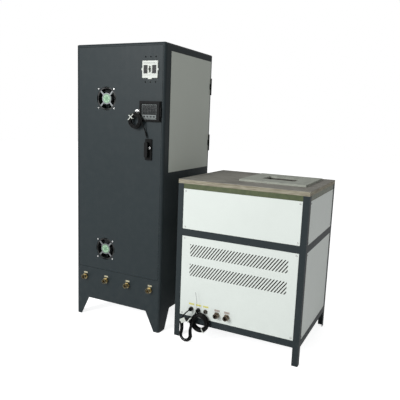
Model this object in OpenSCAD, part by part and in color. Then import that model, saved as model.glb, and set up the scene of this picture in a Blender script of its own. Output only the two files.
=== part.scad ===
// Induction heating machine: a power cabinet and the heating table that stands beside it.
// Millimetres. X runs along the fronts, Y goes back, Z is up. Parts are drawn from the cabinet's
// left front corner, and each module moves its part to the middle of the footprint.

/* [Cabinet] */
// Width of the power cabinet
cab_w = 590; // [540:5:700]
// Depth of the power cabinet
cab_d = 570; // [520:5:700]
// Height of the power cabinet
cab_h = 1600; // [1500:10:1800]
// Thickness of the cabinet's sheet steel
cab_sheet = 2; // [1.5:0.5:3]
// Outside radius of the bent vertical edges
cab_bend_r = 15; // [8:1:16]
// Height of the cut-outs that leave the four feet
skirt_h = 114; // [80:2:140]
// Width of a foot at the floor, seen from the front
foot_front_w = 36; // [24:2:60]
// Distance from the cabinet's side to the cut-out's upper corner
foot_front_top = 92; // [70:2:140]
// Width of a foot at the floor, seen from the side
foot_side_w = 62; // [40:2:90]
// Distance from the front to the side cut-out's upper corner
foot_side_top = 112; // [95:1:150]

/* [Front door] */
// Height of the front door's lower edge
door_low = 306; // [295:1:330]
// Width of the fixed rim above the front door
door_rim = 16; // [12:1:24]
// Gap round the front door
door_gap = 1.6; // [1.2:0.1:2.5]
// Depth of the flanges folded round the front door
door_flange = 18; // [16:1:24]
// Radius of a door's pivot pin
pivot_r = 3; // [2.5:0.5:4]
// Distance of the pivot from the door's hinge edge
pivot_in = 5; // [4:0.5:7]
// Distance of the pivot behind the door's face
pivot_back = 6; // [5:0.5:8]

/* [Side door] */
// Distance from the cabinet's front to the side door
side_front = 57; // [40:1:90]
// Height of the side door's lower edge
side_low = 914; // [905:1:980]
// Width of the dark margin above the side door
side_rim = 42; // [25:1:80]
// Thickness of the side door's sheet
side_sheet = 1.5; // [1:0.5:3]
// Radius of the side hinge's barrel
barrel_r = 4.5; // [4:0.5:6]
// Height of one side hinge
side_hinge_h = 100; // [60:5:140]
// Distance of a side hinge's middle from the door's upper or lower edge
side_hinge_in = 150; // [100:5:200]

/* [Fans] */
// Outside width of a fan
fan_w = 119; // [100:1:125]
// Distance between a fan's fixing holes
fan_pitch = 105; // [95:1:110]
// Depth of a fan
fan_depth = 38; // [25:1:50]
// Radius of a fan's duct
fan_duct_r = 57; // [50:1:59]
// Radius of a fan's motor
fan_hub_r = 31; // [25:1:36]
// Radius of the door's opening in front of a fan
fan_hole_r = 65; // [60:1:67]
// Distance of the fans' axis from the cabinet's left side
fan_x = 212; // [160:1:240]
// Distance of the upper fan's axis below the cabinet's top
fan_down = 297; // [200:1:350]
// Height of the lower fan's axis
fan_low_z = 436; // [400:1:500]
// Number of blades on a fan
fan_blades = 7; // [5:1:9]

/* [Breaker] */
// Width of the breaker's nose
nose_w = 94; // [80:1:100]
// Height of the breaker's nose
nose_h = 88; // [70:1:100]
// Reach of the nose in front of the door
nose_reach = 8; // [4:1:14]
// Width of the breaker's case
breaker_w = 107; // [104:1:120]
// Height of the breaker's case
breaker_h = 165; // [140:1:200]
// Depth of the breaker's case behind the door
breaker_depth = 80; // [60:1:100]
// Distance of the breaker's axis from the cabinet's right side
breaker_in = 91; // [85:1:110]
// Distance of the breaker's middle below the cabinet's top
breaker_down = 141; // [130:1:160]

/* [Meter] */
// Width of the meter
meter_w = 94; // [80:1:96]
// Height of the meter
meter_h = 80; // [70:1:90]
// Distance of the meter's axis from the cabinet's right side
meter_in = 91; // [86:1:100]
// Distance of the meter's middle below the cabinet's top
meter_down = 363; // [350:1:375]
// Width of the raised frame round the meter
meter_frame_w = 132; // [120:1:134]
// Height of the raised frame round the meter
meter_frame_h = 108; // [100:1:120]
// Reach of the raised frame in front of the door
meter_frame_reach = 14; // [8:1:18]
// Travel of a button
button_travel = 1.2; // [0.8:0.1:2]

/* [Latch] */
// Width of the latch's plate
latch_w = 42; // [36:1:48]
// Height of the latch's plate
latch_h = 115; // [100:1:130]
// Distance of the latch's middle from the cabinet's right side
latch_in = 92; // [85:1:110]
// Distance of the latch's middle below the cabinet's top
latch_down = 564; // [550:1:600]
// Reach of the handle in front of the door
latch_reach = 24; // [22:1:30]
// Length of the handle from its axis
latch_lever = 74; // [60:1:78]

/* [Water fittings] */
// Width of a fitting's hexagon across its flats
hex_flats = 30; // [24:1:36]
// Thickness of a fitting's hexagon
hex_t = 9; // [6:1:12]
// Outside radius of a fitting's neck
neck_r = 12; // [10:0.5:14]
// Bore radius of a fitting
fit_bore_r = 7.5; // [6:0.5:9]
// Reach of a fitting in front of the sheet that carries it
fit_reach = 26; // [25:1:30]
// Height of the cabinet's four fittings
cab_fit_z = 245; // [235:1:255]
// Distance between two of the cabinet's fittings
cab_fit_pitch = 152; // [120:1:155]
// Distance of the first fitting from the cabinet's left side
cab_fit_x = 68; // [60:1:80]

/* [Heating table] */
// Width of the heating table
tab_w = 710; // [660:5:900]
// Depth of the heating table
tab_d = 590; // [560:5:760]
// Height of the heating table's board
tab_h = 890; // [880:1:900]
// Space between the cabinet and the heating table
tab_gap = 82; // [70:1:150]
// Distance of the table's front behind the cabinet's front
tab_back = 32; // [20:1:60]
// Flange width of the frame's angle bars
leg_w = 32; // [30:1:40]
// Thickness of the frame's angle bars
angle_t = 3; // [2.5:0.5:4]
// Thickness of the table's board
board_t = 22; // [16:1:25]
// Height of the insulating boards under the table's board
ins_h = 27; // [22:1:30]
// Height of the middle rail's lower edge
mid_rail_z = 583; // [560:1:600]
// Height of the middle rail
mid_rail_h = 38; // [32:1:45]
// Height of the bottom rail's lower edge
low_rail_z = 96; // [80:1:110]
// Height of the bottom rail
low_rail_h = 36; // [30:1:45]
// Thickness of the table's panels
panel_t = 2; // [1.5:0.5:2.5]

/* [Louvres] */
// Distance between two slots, along the row
slot_pitch = 17; // [15:0.5:22]
// Width of a slot, along the row
slot_w = 7; // [5:0.5:8]
// Height of a row of slots
slot_h = 67; // [50:1:70]
// Lean of a slot over its height
slot_lean = 49; // [20:1:60]
// Distance from a row's end to the table's side
slot_margin = 83; // [40:1:90]
// Height of the upper row's middle
slot_high_z = 507; // [495:1:520]
// Height of the lower row's middle
slot_low_z = 397; // [390:1:410]

/* [Coil chamber] */
// Length of the slot that takes the work
well_w = 184; // [160:1:200]
// Width of the slot that takes the work
well_d = 140; // [120:1:160]
// Length of the raised plate round the slot
plate_w = 364; // [300:2:380]
// Width of the raised plate round the slot
plate_d = 370; // [300:2:380]
// Distance of the raised plate from the board's front
plate_y = 153; // [120:1:180]
// Thickness of the raised plate
plate_t = 10; // [8:1:14]
// Distance of the slot's middle from the board's left side
well_x = 468; // [440:1:480]
// Distance of the slot's middle from the board's front
well_y = 336; // [330:1:350]
// Wall of the coil's lining
lining_t = 14; // [10:1:18]
// Height of the lining's floor
lining_floor_z = 700; // [690:1:720]
// Radius of the coil's copper tube
coil_tube_r = 5; // [4:0.5:5.5]
// Distance between two turns of the coil
coil_pitch = 14; // [13:0.5:16]
// Number of turns in the coil
coil_turns = 10; // [6:1:10]

/* [Cords] */
// Diameter of the cabinet's sensor cord
sensor_cord_d = 6; // [5:0.5:6]
// Diameter of the table's signal cord
signal_cord_d = 6; // [5:0.5:6]
// Diameter of the hanked cord
hank_cord_d = 7; // [6:0.5:7]

/* [Hidden] */
$fn = 48;

// One overrun serves every cut.
cut = 1;
// Running clearance of a pin or a spindle, on the radius.
run_clear = 0.05;
// Gap where a piece lies beside another without touching it.
seat_gap = 0.3;

// The table's corner, and the middle of the whole footprint.
tab_x = cab_w + tab_gap;
tab_y = tab_back;
total_w = tab_x + tab_w;
place_x = -total_w / 2;
place_y = -(tab_y + tab_d - fit_reach) / 2;

// Front door and its pivots
door_left = cab_bend_r;
door_right = cab_w - cab_bend_r;
door_top = cab_h - door_rim;
hinge_gap = 2.4;
door_x = door_left + hinge_gap;
door_z = door_low + door_gap;
door_w = door_right - door_gap - door_x;
door_h = door_top - door_low - 2 * door_gap;
pivot_x = door_x + pivot_in;
pivot_y = pivot_back;
pivot_boss_r = 5;
pivot_boss_h = 26;
pivot_in_z = 60;
pivot_arm_h = 8;
pivot_arm_gap = 0.5;
pivot_arm_left = 2.2;
pivot_wall_y = 20;
pivot_wall_t = 4;
pivot_z = [door_z + pivot_in_z, door_z + door_h - pivot_in_z - pivot_boss_h];
flange_in = 12;
flange_start = 40;

// Side door
side_gap = 2;
side_lap = 8;
side_return = 16;
strip_w = 25;
side_rear = cab_d - strip_w;
side_top = cab_h - side_rim;
side_w = side_rear - side_front;
side_h = side_top - side_low;
side_x = cab_w + seat_gap;
barrel_x = cab_w + seat_gap + barrel_r;
barrel_y = side_rear + seat_gap + barrel_r;
barrel_pin_r = 2.5;
leaf_t = 1.5;
leaf_w = 9;
side_hinge_z = [side_low + side_hinge_in, side_top - side_hinge_in];
knuckle_h = side_hinge_h / 3;

// Rear of the cabinet
rear_in = 24;
rear_sheet = 1.5;
rear_low = skirt_h + rear_in;
rear_top = cab_h - 2 * rear_in;
rear_vent_n = 9;
rear_vent_w = 300;
rear_vent_h = 6;
rear_vent_pitch = 16;

// Screws
screw_head_r = 4.5;
screw_head_t = 2.5;
screw_r = 2;
screw_hole_r = 2.6;
screw_len = 5;
panel_screw_in = 13;

// Fans
fan_flange_t = 5;
fan_wall = 2.5;
fan_corner_r = 10;
fan_strut_w = 9;
fan_strut_t = 4;
fan_motor_t = 20;
fan_tip_gap = 4;
fan_shaft_r = 3;
fan_label_r = 25;
fan_label_t = 0.6;
blade_t = 1.6;
blade_chord = 30;
blade_pitch = 32;
blade_root = 1;
rotor_cup_t = 13;
rotor_gap = 1.5;
fan_high_z = cab_h - fan_down;
fan_y = cab_sheet;
rotor_y = fan_y + fan_motor_t + rotor_gap;

// Breaker
nose_gap = 2;
nose_tab_w = 5;
nose_side_tab_h = 9;
nose_low_tab_w = 24;
nose_low_tab_h = 6;
toggle_slot_w = 10;
toggle_slot_h = 34;
toggle_slot_d = 26;
toggle_w = 8;
toggle_reach = 9;
toggle_h = 6;
toggle_axis_in = 14;
toggle_hub_r = 9;
toggle_pin_r = 1.5;
window_w = 26;
window_h = 44;
window_off = 27;
window_in = 0.8;
breaker_x = cab_w - breaker_in;
breaker_z = cab_h - breaker_down;
breaker_y = cab_sheet + door_gap;
port_pitch = 32;
port_out = 65;
port_r = 4;
port_in = 10;

// Meter
meter_x = cab_w - meter_in;
meter_z = cab_h - meter_down;
meter_reach = 7;
meter_depth = 70;
meter_rim = 4;
display_h = 48;
display_in = 2;
button_n = 4;
button_pitch = 20;
button_w = 11;
button_h = 8;
button_up = 15;
button_reach = 1.8;
button_gap = 0.3;
button_deep = 6;
button_len = 4;
meter_body_w = 88;
meter_body_h = 74;
frame_gap = 2;
frame_shift = 5;
frame_step = 3;
frame_bevel = 4;
clamp_w = 5;
clamp_h = 50;
clamp_reach = 10;

// Latch
plate_reach = 6;
plate_r = 4;
latch_x = cab_w - latch_in;
latch_z = cab_h - latch_down;
latch_axis_off = 6;
latch_axis_up = 30;
latch_axis_x = latch_x - latch_axis_off;
latch_axis_z = latch_z + latch_axis_up;
latch_boss_r = 11;
lever_w = 20;
lever_t = 9;
spindle_r = 6;
cam_t = 4;
cam_w = 16;
cam_y = 8;
cam_over = 6;
cam_len = door_right + cam_over - latch_axis_x;
key_off = 12;
key_up = 10;
key_x = latch_x + key_off;
key_z = latch_z + key_up;
key_r = 5;
key_ring_r = 7;
key_reach = 13;
key_ring_t = 5;
key_slot_w = 1.4;
key_slot_h = 8;
key_slot_in = 2;

// Cabinet's socket and the elbow plug in it
cab_socket_off = 78;
cab_socket_down = 4;
cab_socket_x = meter_x - cab_socket_off;
cab_socket_z = meter_z - cab_socket_down;
cab_socket_r = 16;
cab_socket_t = 4;
cab_socket_neck_r = 10;
cab_socket_back = 14;
elbow_r = 5;
elbow_ring_r = 9;
elbow_ring_t = 8;
elbow_arm_r = 3.3;

// Mounting plate inside the cabinet
board_y = 200;
board_sheet = 3;
board_in = 16;
board_w = cab_w - 2 * board_in;
board_down = 40;
board_high = cab_h - board_down;
board_foot = 30;
floor_top = skirt_h + cab_sheet;
pedestal_w = 100;
pedestal_h = 140;

// Electrical pieces on the mounting plate
cold_w = 420;
cold_h = 130;
cold_t = 20;
cold_x = 60;
cold_z = [620, 810];
cold_port_in = 30;
module_w = 62;
module_h = 106;
module_t = 31;
module_n = 4;
module_pitch = 96;
module_in = 34;
term_r = 6;
term_t = 5;
cap_r = 38;
cap_l = 120;
cap_pitch = 92;
cap_x = 110;
cap_n = 4;
cap_z = 1040;
cap_term_off = 18;
contactor_w = 110;
contactor_h = 130;
contactor_t = 100;
contactor_in = 80;
contactor_down = 290;
contactor_x = cab_w - contactor_in - contactor_w;
contactor_z = cab_h - contactor_down - contactor_h;
contactor_step_h = 90;
contactor_step_t = 24;
pcb_w = 220;
pcb_h = 260;
pcb_t = 1.6;
pcb_x = 80;
pcb_z = 1180;
standoff_r = 4;
standoff_len = 18;
standoff_in = 12;
chip_w = 34;
chip_h = 22;
chip_t = 8;
chip_pitch_x = 48;
chip_pitch_z = 52;

// Busbars
bus_w = 20;
bus_t = 4;

// Table frame
tab_top = tab_h - board_t;
ins_low = tab_top - ins_h;
up_low = mid_rail_z + mid_rail_h;
low_top = low_rail_z + low_rail_h;
panel_inset = 1;
panel_gap = 0.8;
panel_y = tab_y + panel_inset;
cleat = 26;
cleat_lap = 9;
ins_t = 10;

// Coil chamber
well_cx = tab_x + well_x;
well_cy = tab_y + well_y;
bearer_w = 46;
bearer_h = 40;
bearer_in = 12;
lining_low_z = up_low + bearer_h;
lining_w = well_w + 2 * lining_t;
lining_d = well_d + 2 * lining_t;
lining_r = 16;
board_hole_gap = 1;
coil_low_z = lining_floor_z + coil_tube_r + seat_gap;
coil_hx = lining_w / 2 + seat_gap + coil_tube_r;
coil_hy = lining_d / 2 + seat_gap + coil_tube_r;
coil_bend_r = lining_r + seat_gap + coil_tube_r;
coil_bend_steps = 4;
coil_sides = 6;
coil_tail = 60;
lug_w = 24;
lug_t = 16;

// Tank capacitors and transformer in the table
table_plate_t = 2;
tank_z = low_rail_z + angle_t + table_plate_t;
tank_w = 90;
tank_d = 180;
tank_h = 210;
tank_in = 120;
tank_pitch = 110;
tank_x = [tab_x + tank_in, tab_x + tank_in + tank_pitch];
tank_off = 25;
tank_y = well_cy - coil_hy - tank_off;
stud_r = 8;
stud_h = 18;
core_w = 150;
core_d = 110;
core_h = 190;
core_leg = 36;
core_in = 90;
core_back = 200;
core_x = tab_x + tab_w - core_in - core_w;
core_y = tab_y + core_back;
winding_t = 16;
winding_end = 12;

// Water fittings and pipes
neck_back = 24;
fit_bore_l = 30;
collar_r = 13.5;
collar_t = 5;
pipe_r = 6;
elbow_wall = 2;
elbow_h = pipe_r + elbow_wall;
tab_fit_in = 258;
tab_fit_pitch = 57;
tab_fit_up = 42;
tab_fit_x = [tab_x + tab_fit_in, tab_x + tab_fit_in + tab_fit_pitch];
tab_fit_z = low_top + tab_fit_up;
pipe_back_y = board_y - cold_t / 2;
pipe_turn_y = 110;

// Sockets, plugs and labels on the table's lower panel
socket_in = 104;
socket_pitch = 43;
socket_up = 46;
socket_x = [for (i = [0 : 2]) tab_x + socket_in + i * socket_pitch];
socket_z = low_top + socket_up;
socket_flange_r = 12;
socket_flange_t = 3;
socket_shell_r = 9;
socket_reach = 9;
socket_back = 16;
socket_bore_r = 6;
plug_ring_r = 10;
plug_ring_t = 8;
plug_body_r = 7;
plug_body_t = 6;
plug_y = panel_y - socket_reach;
plug_end_y = plug_y - plug_ring_t - plug_body_t;
label_t = 0.8;
tape_w = 32;
tape_h = 9;
tape_up = 27;
tag_w = 30;
tag_h = 11;
tag_up = 24.5;
cab_tag_w = 26;
cab_tag_h = 9;
cab_tag_up = 23;

// Cords: the space between two turns, and how the loops are divided
cord_clear = 0.6;
loop_steps = 24;
wound_sides = 6;
lead_sides = 8;
climb_share = 0.5;

// Coil on the front door. It starts where the elbow's line touches the outer turn.
sensor_out = 18;
sensor_drop = 46;
sensor_c = [cab_socket_x, -sensor_out, cab_socket_z - sensor_drop];
sensor_r = 43;
sensor_pitch = sensor_cord_d + cord_clear;
sensor_from = 69.2;
sensor_turns = 6.15;
sensor_layers = 2;
sensor_line = 16.3;
sensor_step = 8;

// Coil in front of the table
signal_c = [841, 2.2, 118];
signal_r = 51;
signal_pitch = signal_cord_d + cord_clear;
signal_from = 135;
signal_turns = 11.04;
signal_layers = 4;
signal_tail = 20;

// Hank that stands on the floor in front of the table
hank_r = 41;
hank_run = 58;
hank_pitch = 8.9;
hank_step = 8;
hank_in_turns = 2.175;
hank_turns = 3.75;
hank_from = 0.45;
hank_waist_share = 0.86;
hank_tilt = 6;
hank_x = 771;
hank_y = -16;
hank_low = 0.2;
hank_z = (hank_run / 2 + hank_r) * cos(hank_tilt) + hank_step / 2 * sin(hank_tilt)
    + hank_cord_d / 2 + hank_low;
hank_tail = 8;

// Pieces on the cords
end_r = 4.2;
end_l = 24;
end_tip_r = 2.4;
end_tip_l = 10;
tie_wall = 1.2;
tie_w = 5;
tie_gap = 0.4;
tie_tail_l = 46;
tie_tail_w = 4;
tie_angle = 140;
tie_tail_angle = 45;
signal_tie_angle = 300;
hank_tie_angle = 60;
hank_tag_at = [752, -19.6, 124];
hank_tag_turn = 30;
tag_plate_w = 32;
tag_plate_h = 24;
tag_plate_t = 1.2;

// Free stretches of the leads, as points that a smooth curve follows
sensor_lead_mid = [for (p = [[45, -6, -9], [49, 0, -27], [54, 9.5, -45]]) sensor_c + p];
sensor_plug_at = sensor_c + [58, 10, -57];
signal_lead_pull = 15;
hank_lead_pull = 22;
lead_steps = 8;

// Vectors and tubes

function unit(v) = v / norm(v);

function flat(lists) = [for (l = lists, p = l) p];

function along(points) = [
    for (i = [0 : len(points) - 1])
        unit(points[min(i + 1, len(points) - 1)] - points[max(i - 1, 0)])
];

function ring(at, dir, side, r, n) = let (a = unit(cross(dir, side)), b = cross(dir, a))
    [for (k = [0 : n - 1]) at + r * (cos(k * 360 / n) * a + sin(k * 360 / n) * b)];

// A closed tube swept along points, with rings square to the run.
module tube(points, r, n, side) {
    dirs = along(points);
    last = len(points) - 1;
    polyhedron(
        points = flat([for (i = [0 : last]) ring(points[i], dirs[i], side, r, n)]),
        faces = concat(
            [[for (k = [0 : n - 1]) k]],
            [for (i = [0 : last - 1], k = [0 : n - 1])
                [i * n + k, (i + 1) * n + k, (i + 1) * n + (k + 1) % n]],
            [for (i = [0 : last - 1], k = [0 : n - 1])
                [i * n + k, (i + 1) * n + (k + 1) % n, i * n + (k + 1) % n]],
            [[for (k = [n - 1 : -1 : 0]) last * n + k]]));
}

// A cubic curve from a to d, pulled towards b and c.
function curve(a, b, c, d, n) = [
    for (i = [0 : n]) let (t = i / n, s = 1 - t)
        s * s * s * a + 3 * s * s * t * b + 3 * s * t * t * c + t * t * t * d
];

// Share of the climb that is done at t turns, with a climb round each reversal.
function climbed(t, turns, layers, share) = layers < 2 ? 0 : let (n = turns / layers)
    [for (k = [1 : layers - 1]) min(1, max(0, (t - k * n) / share + share))]
    * [for (k = [1 : layers - 1]) 1];

// Turns that a spiral has come in by: a layer goes in, the next one comes out again.
function spiral_in(t, n, layers) = let (k = min(layers - 1, floor(t / n)), u = t - k * n)
    k % 2 == 0 ? u : n - u;

// Points of a round coil in layers. The first layer lies at c, the next ones step apart from it.
function coil_points(c, r, pitch, step, from, turns, layers, way) = [
    for (i = [0 : round(turns * loop_steps)])
        let (t = min(turns, i / loop_steps), a = from + way * 360 * t,
             q = r - pitch * spiral_in(t, turns / layers, layers))
        c + [q * cos(a), step * climbed(t, turns, layers, climb_share), q * sin(a)]
];

// Direction in which a round coil runs at an angle.
function coil_dir(a, way) = way * [-sin(a), 0, cos(a)];

// Where a loop of the hank lies at a share of its length, for a half width w.
function hank_loop(s, w) = let (u = s - floor(s), q = 4 * (u - floor(4 * u) / 4),
        f = 1 - (1 - hank_waist_share) * sin(180 * q))
    u < 1 / 4 ? [w * f, hank_run * (q - 1 / 2)]
    : u < 1 / 2 ? [w * cos(180 * q), hank_run / 2 + w * sin(180 * q)]
    : u < 3 / 4 ? [-w * f, hank_run * (1 / 2 - q)]
    : [-w * cos(180 * q), -hank_run / 2 - w * sin(180 * q)];

// The hank's plane, leant towards the table, with front layers towards the viewer.
function hank_place(p, out) = [
    hank_x + p[0],
    hank_y + p[1] * sin(hank_tilt) - out * cos(hank_tilt),
    hank_z + p[1] * cos(hank_tilt) + out * sin(hank_tilt)
];

hank_points = [
    for (i = [0 : hank_turns * loop_steps])
        let (t = i / loop_steps,
             u = t < hank_in_turns ? t : 2 * hank_in_turns - t,
             w = hank_r - hank_pitch * u,
             rise = min(1, max(0, (t - hank_in_turns) / climb_share + climb_share)))
        hank_place(hank_loop(hank_from + t, w), hank_step * (rise - 1 / 2))
];
hank_end_dir = unit(hank_points[len(hank_points) - 1] - hank_points[len(hank_points) - 2]);
hank_end = hank_points[len(hank_points) - 1] + hank_tail * hank_end_dir;

sensor_points = coil_points(sensor_c, sensor_r, sensor_pitch, -sensor_step, sensor_from,
                            sensor_turns, sensor_layers, -1);
sensor_start_dir = coil_dir(sensor_from, -1);
sensor_end_angle = sensor_from - 360 * sensor_turns;
sensor_end = sensor_points[len(sensor_points) - 1]
    + sensor_cord_d * coil_dir(sensor_end_angle, -1);

signal_points = coil_points(signal_c, signal_r, signal_pitch, signal_pitch, signal_from,
                            signal_turns, signal_layers, 1);
signal_start_dir = coil_dir(signal_from, 1);
signal_start = signal_points[0] - signal_cord_d * signal_start_dir;
signal_end_dir = coil_dir(signal_from + 360 * signal_turns, 1);
signal_end = signal_points[len(signal_points) - 1] + signal_tail * signal_end_dir;

hank_start_dir = unit(hank_points[1] - hank_points[0]);
hank_start = hank_points[0] - hank_cord_d * hank_start_dir;

// Smallest distance between two places of a winding that lie more than half a turn apart.
function own_gap(p, d) = min([
    for (i = [0 : len(p) - 1], j = [i + loop_steps / 2 : 1 : len(p) - 1]) norm(p[i] - p[j])
]) - d;

echo(sensor_gap = own_gap(sensor_points, sensor_cord_d));
echo(signal_gap = own_gap(signal_points, signal_cord_d));
echo(hank_gap = own_gap(hank_points, hank_cord_d));

// Places and small shapes

module placed() translate([place_x, place_y, 0]) children();

module block(size, at) translate(at) cube(size);

// A rod whose axis runs forward from a point.
module rod_front(r, l, at) translate(at) rotate([90, 0, 0]) cylinder(r = r, h = l);

// A rod whose axis runs back from a point.
module rod_back(r, l, at) translate(at) rotate([-90, 0, 0]) cylinder(r = r, h = l);

module rod_right(r, l, at) translate(at) rotate([0, 90, 0]) cylinder(r = r, h = l);

module rod_up(r, l, at) translate(at) cylinder(r = r, h = l);

// A rod from a point along a direction.
module rod_along(r, l, at, dir, tip = undef)
    translate(at)
    rotate([0, acos(dir[2]), atan2(dir[1], dir[0])])
    cylinder(r1 = r, r2 = is_undef(tip) ? r : tip, h = l);

// A flat drawing in X and Z, made t thick from y backwards.
module upright(t, y) translate([0, y + t, 0]) rotate([90, 0, 0]) linear_extrude(t) children();

// A flat drawing in Y and Z, made t thick from x to the right.
module sideways(t, x) translate([x, 0, 0]) rotate([90, 0, 90]) linear_extrude(t) children();

module rect(w, h, at) translate(at) square([w, h]);

module round_rect(w, d, r) {
    translate([r, 0]) square([w - 2 * r, d]);
    translate([0, r]) square([w, d - 2 * r]);
    for (x = [r, w - r], y = [r, d - r]) translate([x, y]) circle(r);
}

// A water pipe along straight stretches, with a square elbow at each bend.
module pipe(points) {
    for (i = [0 : len(points) - 2]) {
        step = points[i + 1] - points[i];
        rod_along(pipe_r, norm(step), points[i], unit(step));
    }
    for (i = [1 : 1 : len(points) - 2]) translate(points[i]) cube(2 * elbow_h, center = true);
}

// Cabinet

// The trapezoid under a sheet, between two feet.
module skirt_cut(span, foot, shoulder)
    polygon([[foot, -cut], [foot, 0], [shoulder, skirt_h], [span - shoulder, skirt_h],
             [span - foot, 0], [span - foot, -cut]]);

module cabinet_outline(inset)
    translate([inset, inset])
    round_rect(cab_w - 2 * inset, cab_d - 2 * inset, cab_bend_r - inset);

// The upright cabinet's space, in by a distance, with round bends and a round roof.
module cabinet_space(inset, low) intersection() {
    translate([0, 0, low]) linear_extrude(cab_h - inset - low) cabinet_outline(inset);
    upright(cab_d + 2 * cut, -cut) roof_outline(cab_w, inset, low);
    sideways(cab_w + 2 * cut, -cut) roof_outline(cab_d, inset, low);
}

module roof_outline(span, inset, low) translate([inset, low]) {
    r = cab_bend_r - inset;
    rect(span - 2 * inset, cab_h - inset - low - r, [0, 0]);
    rect(span - 2 * inset - 2 * r, r + cut, [r, cab_h - inset - low - r - cut]);
    for (x = [r, span - 2 * inset - r]) translate([x, cab_h - inset - low - r]) circle(r);
}

module cabinet_shell() color("#3c4448") placed() difference() {
    cabinet_space(0, 0);
    cabinet_space(cab_sheet, -cut);
    upright(cab_d + 2 * cut, -cut) skirt_cut(cab_w, foot_front_w, foot_front_top);
    sideways(cab_w + 2 * cut, -cut) skirt_cut(cab_d, foot_side_w, foot_side_top);
    block([door_right - door_left, cab_sheet + cut, door_top - door_low],
          [door_left, -cut, door_low]);
    block([cab_sheet + 2 * cut, side_w - 2 * side_lap, side_h - 2 * side_lap],
          [cab_w - cab_sheet - cut, side_front + side_lap, side_low + side_lap]);
    block([cab_w - 2 * rear_in, cab_sheet + 2 * cut, rear_top - rear_low],
          [rear_in, cab_d - cab_sheet - cut, rear_low]);
    for (i = [0 : 3])
        rod_back(neck_r, cab_sheet + 2 * cut, [cab_fit_x + i * cab_fit_pitch, -cut, cab_fit_z]);
}

module cabinet_floor() color("#8f9698") placed()
    translate([0, 0, skirt_h]) linear_extrude(cab_sheet) cabinet_outline(cab_sheet);

module rear_panel() color("#3c4448") placed() difference() {
    block([cab_w - 2 * cab_bend_r, rear_sheet, rear_top - rear_low + rear_in],
          [cab_bend_r, cab_d, rear_low - rear_in / 2]);
    for (row = [rear_low + rear_in, rear_top - rear_in - rear_vent_n * rear_vent_pitch],
         i = [0 : rear_vent_n - 1])
        block([rear_vent_w, rear_sheet + 2 * cut, rear_vent_h],
              [(cab_w - rear_vent_w) / 2, cab_d - cut, row + i * rear_vent_pitch]);
}

// Front door

// Outline of the breaker's nose with its small tabs, grown by a gap.
module nose_outline(grow) {
    rect(nose_w + 2 * grow, nose_h + 2 * grow,
         [breaker_x - nose_w / 2 - grow, breaker_z - nose_h / 2 - grow]);
    rect(nose_w + 2 * nose_tab_w + 2 * grow, nose_side_tab_h + 2 * grow,
         [breaker_x - nose_w / 2 - nose_tab_w - grow, breaker_z - nose_side_tab_h / 2 - grow]);
    rect(nose_low_tab_w + 2 * grow, nose_low_tab_h + nose_h / 2,
         [breaker_x - nose_low_tab_w / 2 - grow, breaker_z - nose_h / 2 - nose_low_tab_h - grow]);
}

// The three openings above and below the breaker's nose.
module breaker_ports(r, l, y)
    for (side = [-1, 1], i = [-1 : 1])
        rod_back(r, l, [breaker_x + i * port_pitch, y, breaker_z + side * port_out]);

module fan_corners(r, l, y, z)
    for (dx = [-1, 1], dz = [-1, 1])
        rod_back(r, l, [fan_x + dx * fan_pitch / 2, y, z + dz * fan_pitch / 2]);

module front_door() color("#3f474b") placed() {
    difference() {
        union() {
            block([door_w, cab_sheet, door_h], [door_x, 0, door_z]);
            for (z = [door_z, door_z + door_h - cab_sheet])
                block([door_w - flange_start - flange_in, door_flange, cab_sheet],
                      [door_x + flange_start, 0, z]);
            block([cab_sheet, door_flange, door_h],
                  [door_x + door_w - flange_in - cab_sheet, 0, door_z]);
        }
        for (z = [fan_low_z, fan_high_z]) {
            rod_back(fan_hole_r, cab_sheet + 2 * cut, [fan_x, -cut, z]);
            fan_corners(screw_hole_r, cab_sheet + 2 * cut, -cut, z);
        }
        upright(cab_sheet + 2 * cut, -cut) nose_outline(nose_gap);
        breaker_ports(port_r, cab_sheet + 2 * cut, -cut);
        block([meter_body_w, cab_sheet + 2 * cut, meter_body_h],
              [meter_x - meter_body_w / 2, -cut, meter_z - meter_body_h / 2]);
        rod_back(spindle_r + run_clear, cab_sheet + 2 * cut, [latch_axis_x, -cut, latch_axis_z]);
        rod_back(key_r + run_clear, cab_sheet + 2 * cut, [key_x, -cut, key_z]);
        rod_back(cab_socket_neck_r, cab_sheet + 2 * cut, [cab_socket_x, -cut, cab_socket_z]);
        block([3 * cab_sheet, door_flange, cam_len + cam_w],
              [door_x + door_w - flange_in - 2 * cab_sheet, cab_sheet,
               latch_axis_z - cam_len]);
    }
    for (z = pivot_z) difference() {
        union() {
            rod_up(pivot_boss_r, pivot_boss_h, [pivot_x, pivot_y, z]);
            block([2 * pivot_boss_r, pivot_y - cab_sheet, pivot_boss_h], [pivot_x, cab_sheet, z]);
        }
        rod_up(pivot_r + run_clear, pivot_boss_h + 2 * cut, [pivot_x, pivot_y, z - cut]);
    }
}

// The fixed halves of both doors' hinges, with their pins.
module hinges() color("#16181a") placed() {
    for (z = pivot_z) {
        low = z - pivot_arm_gap - pivot_arm_h;
        high = z + pivot_boss_h + pivot_arm_gap;
        rod_up(pivot_r, high - low, [pivot_x, pivot_y, low]);
        for (arm = [low, high])
            block([pivot_arm_left + pivot_boss_r, pivot_wall_y - pivot_y + pivot_r, pivot_arm_h],
                  [pivot_x - pivot_arm_left, pivot_y - pivot_r, arm]);
        block([pivot_x + pivot_boss_r - cab_sheet, pivot_wall_t, high + pivot_arm_h - low],
              [cab_sheet, pivot_wall_y, low]);
    }
    for (z = side_hinge_z) {
        low = z - side_hinge_h / 2;
        rod_up(barrel_pin_r, side_hinge_h, [barrel_x, barrel_y, low]);
        for (k = [low, low + 2 * knuckle_h]) {
            rod_up(barrel_r, knuckle_h, [barrel_x, barrel_y, k]);
            block([leaf_t, barrel_r + leaf_w, knuckle_h], [cab_w, barrel_y, k]);
            block([barrel_r, barrel_r, knuckle_h], [cab_w, barrel_y, k]);
        }
    }
}

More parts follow.
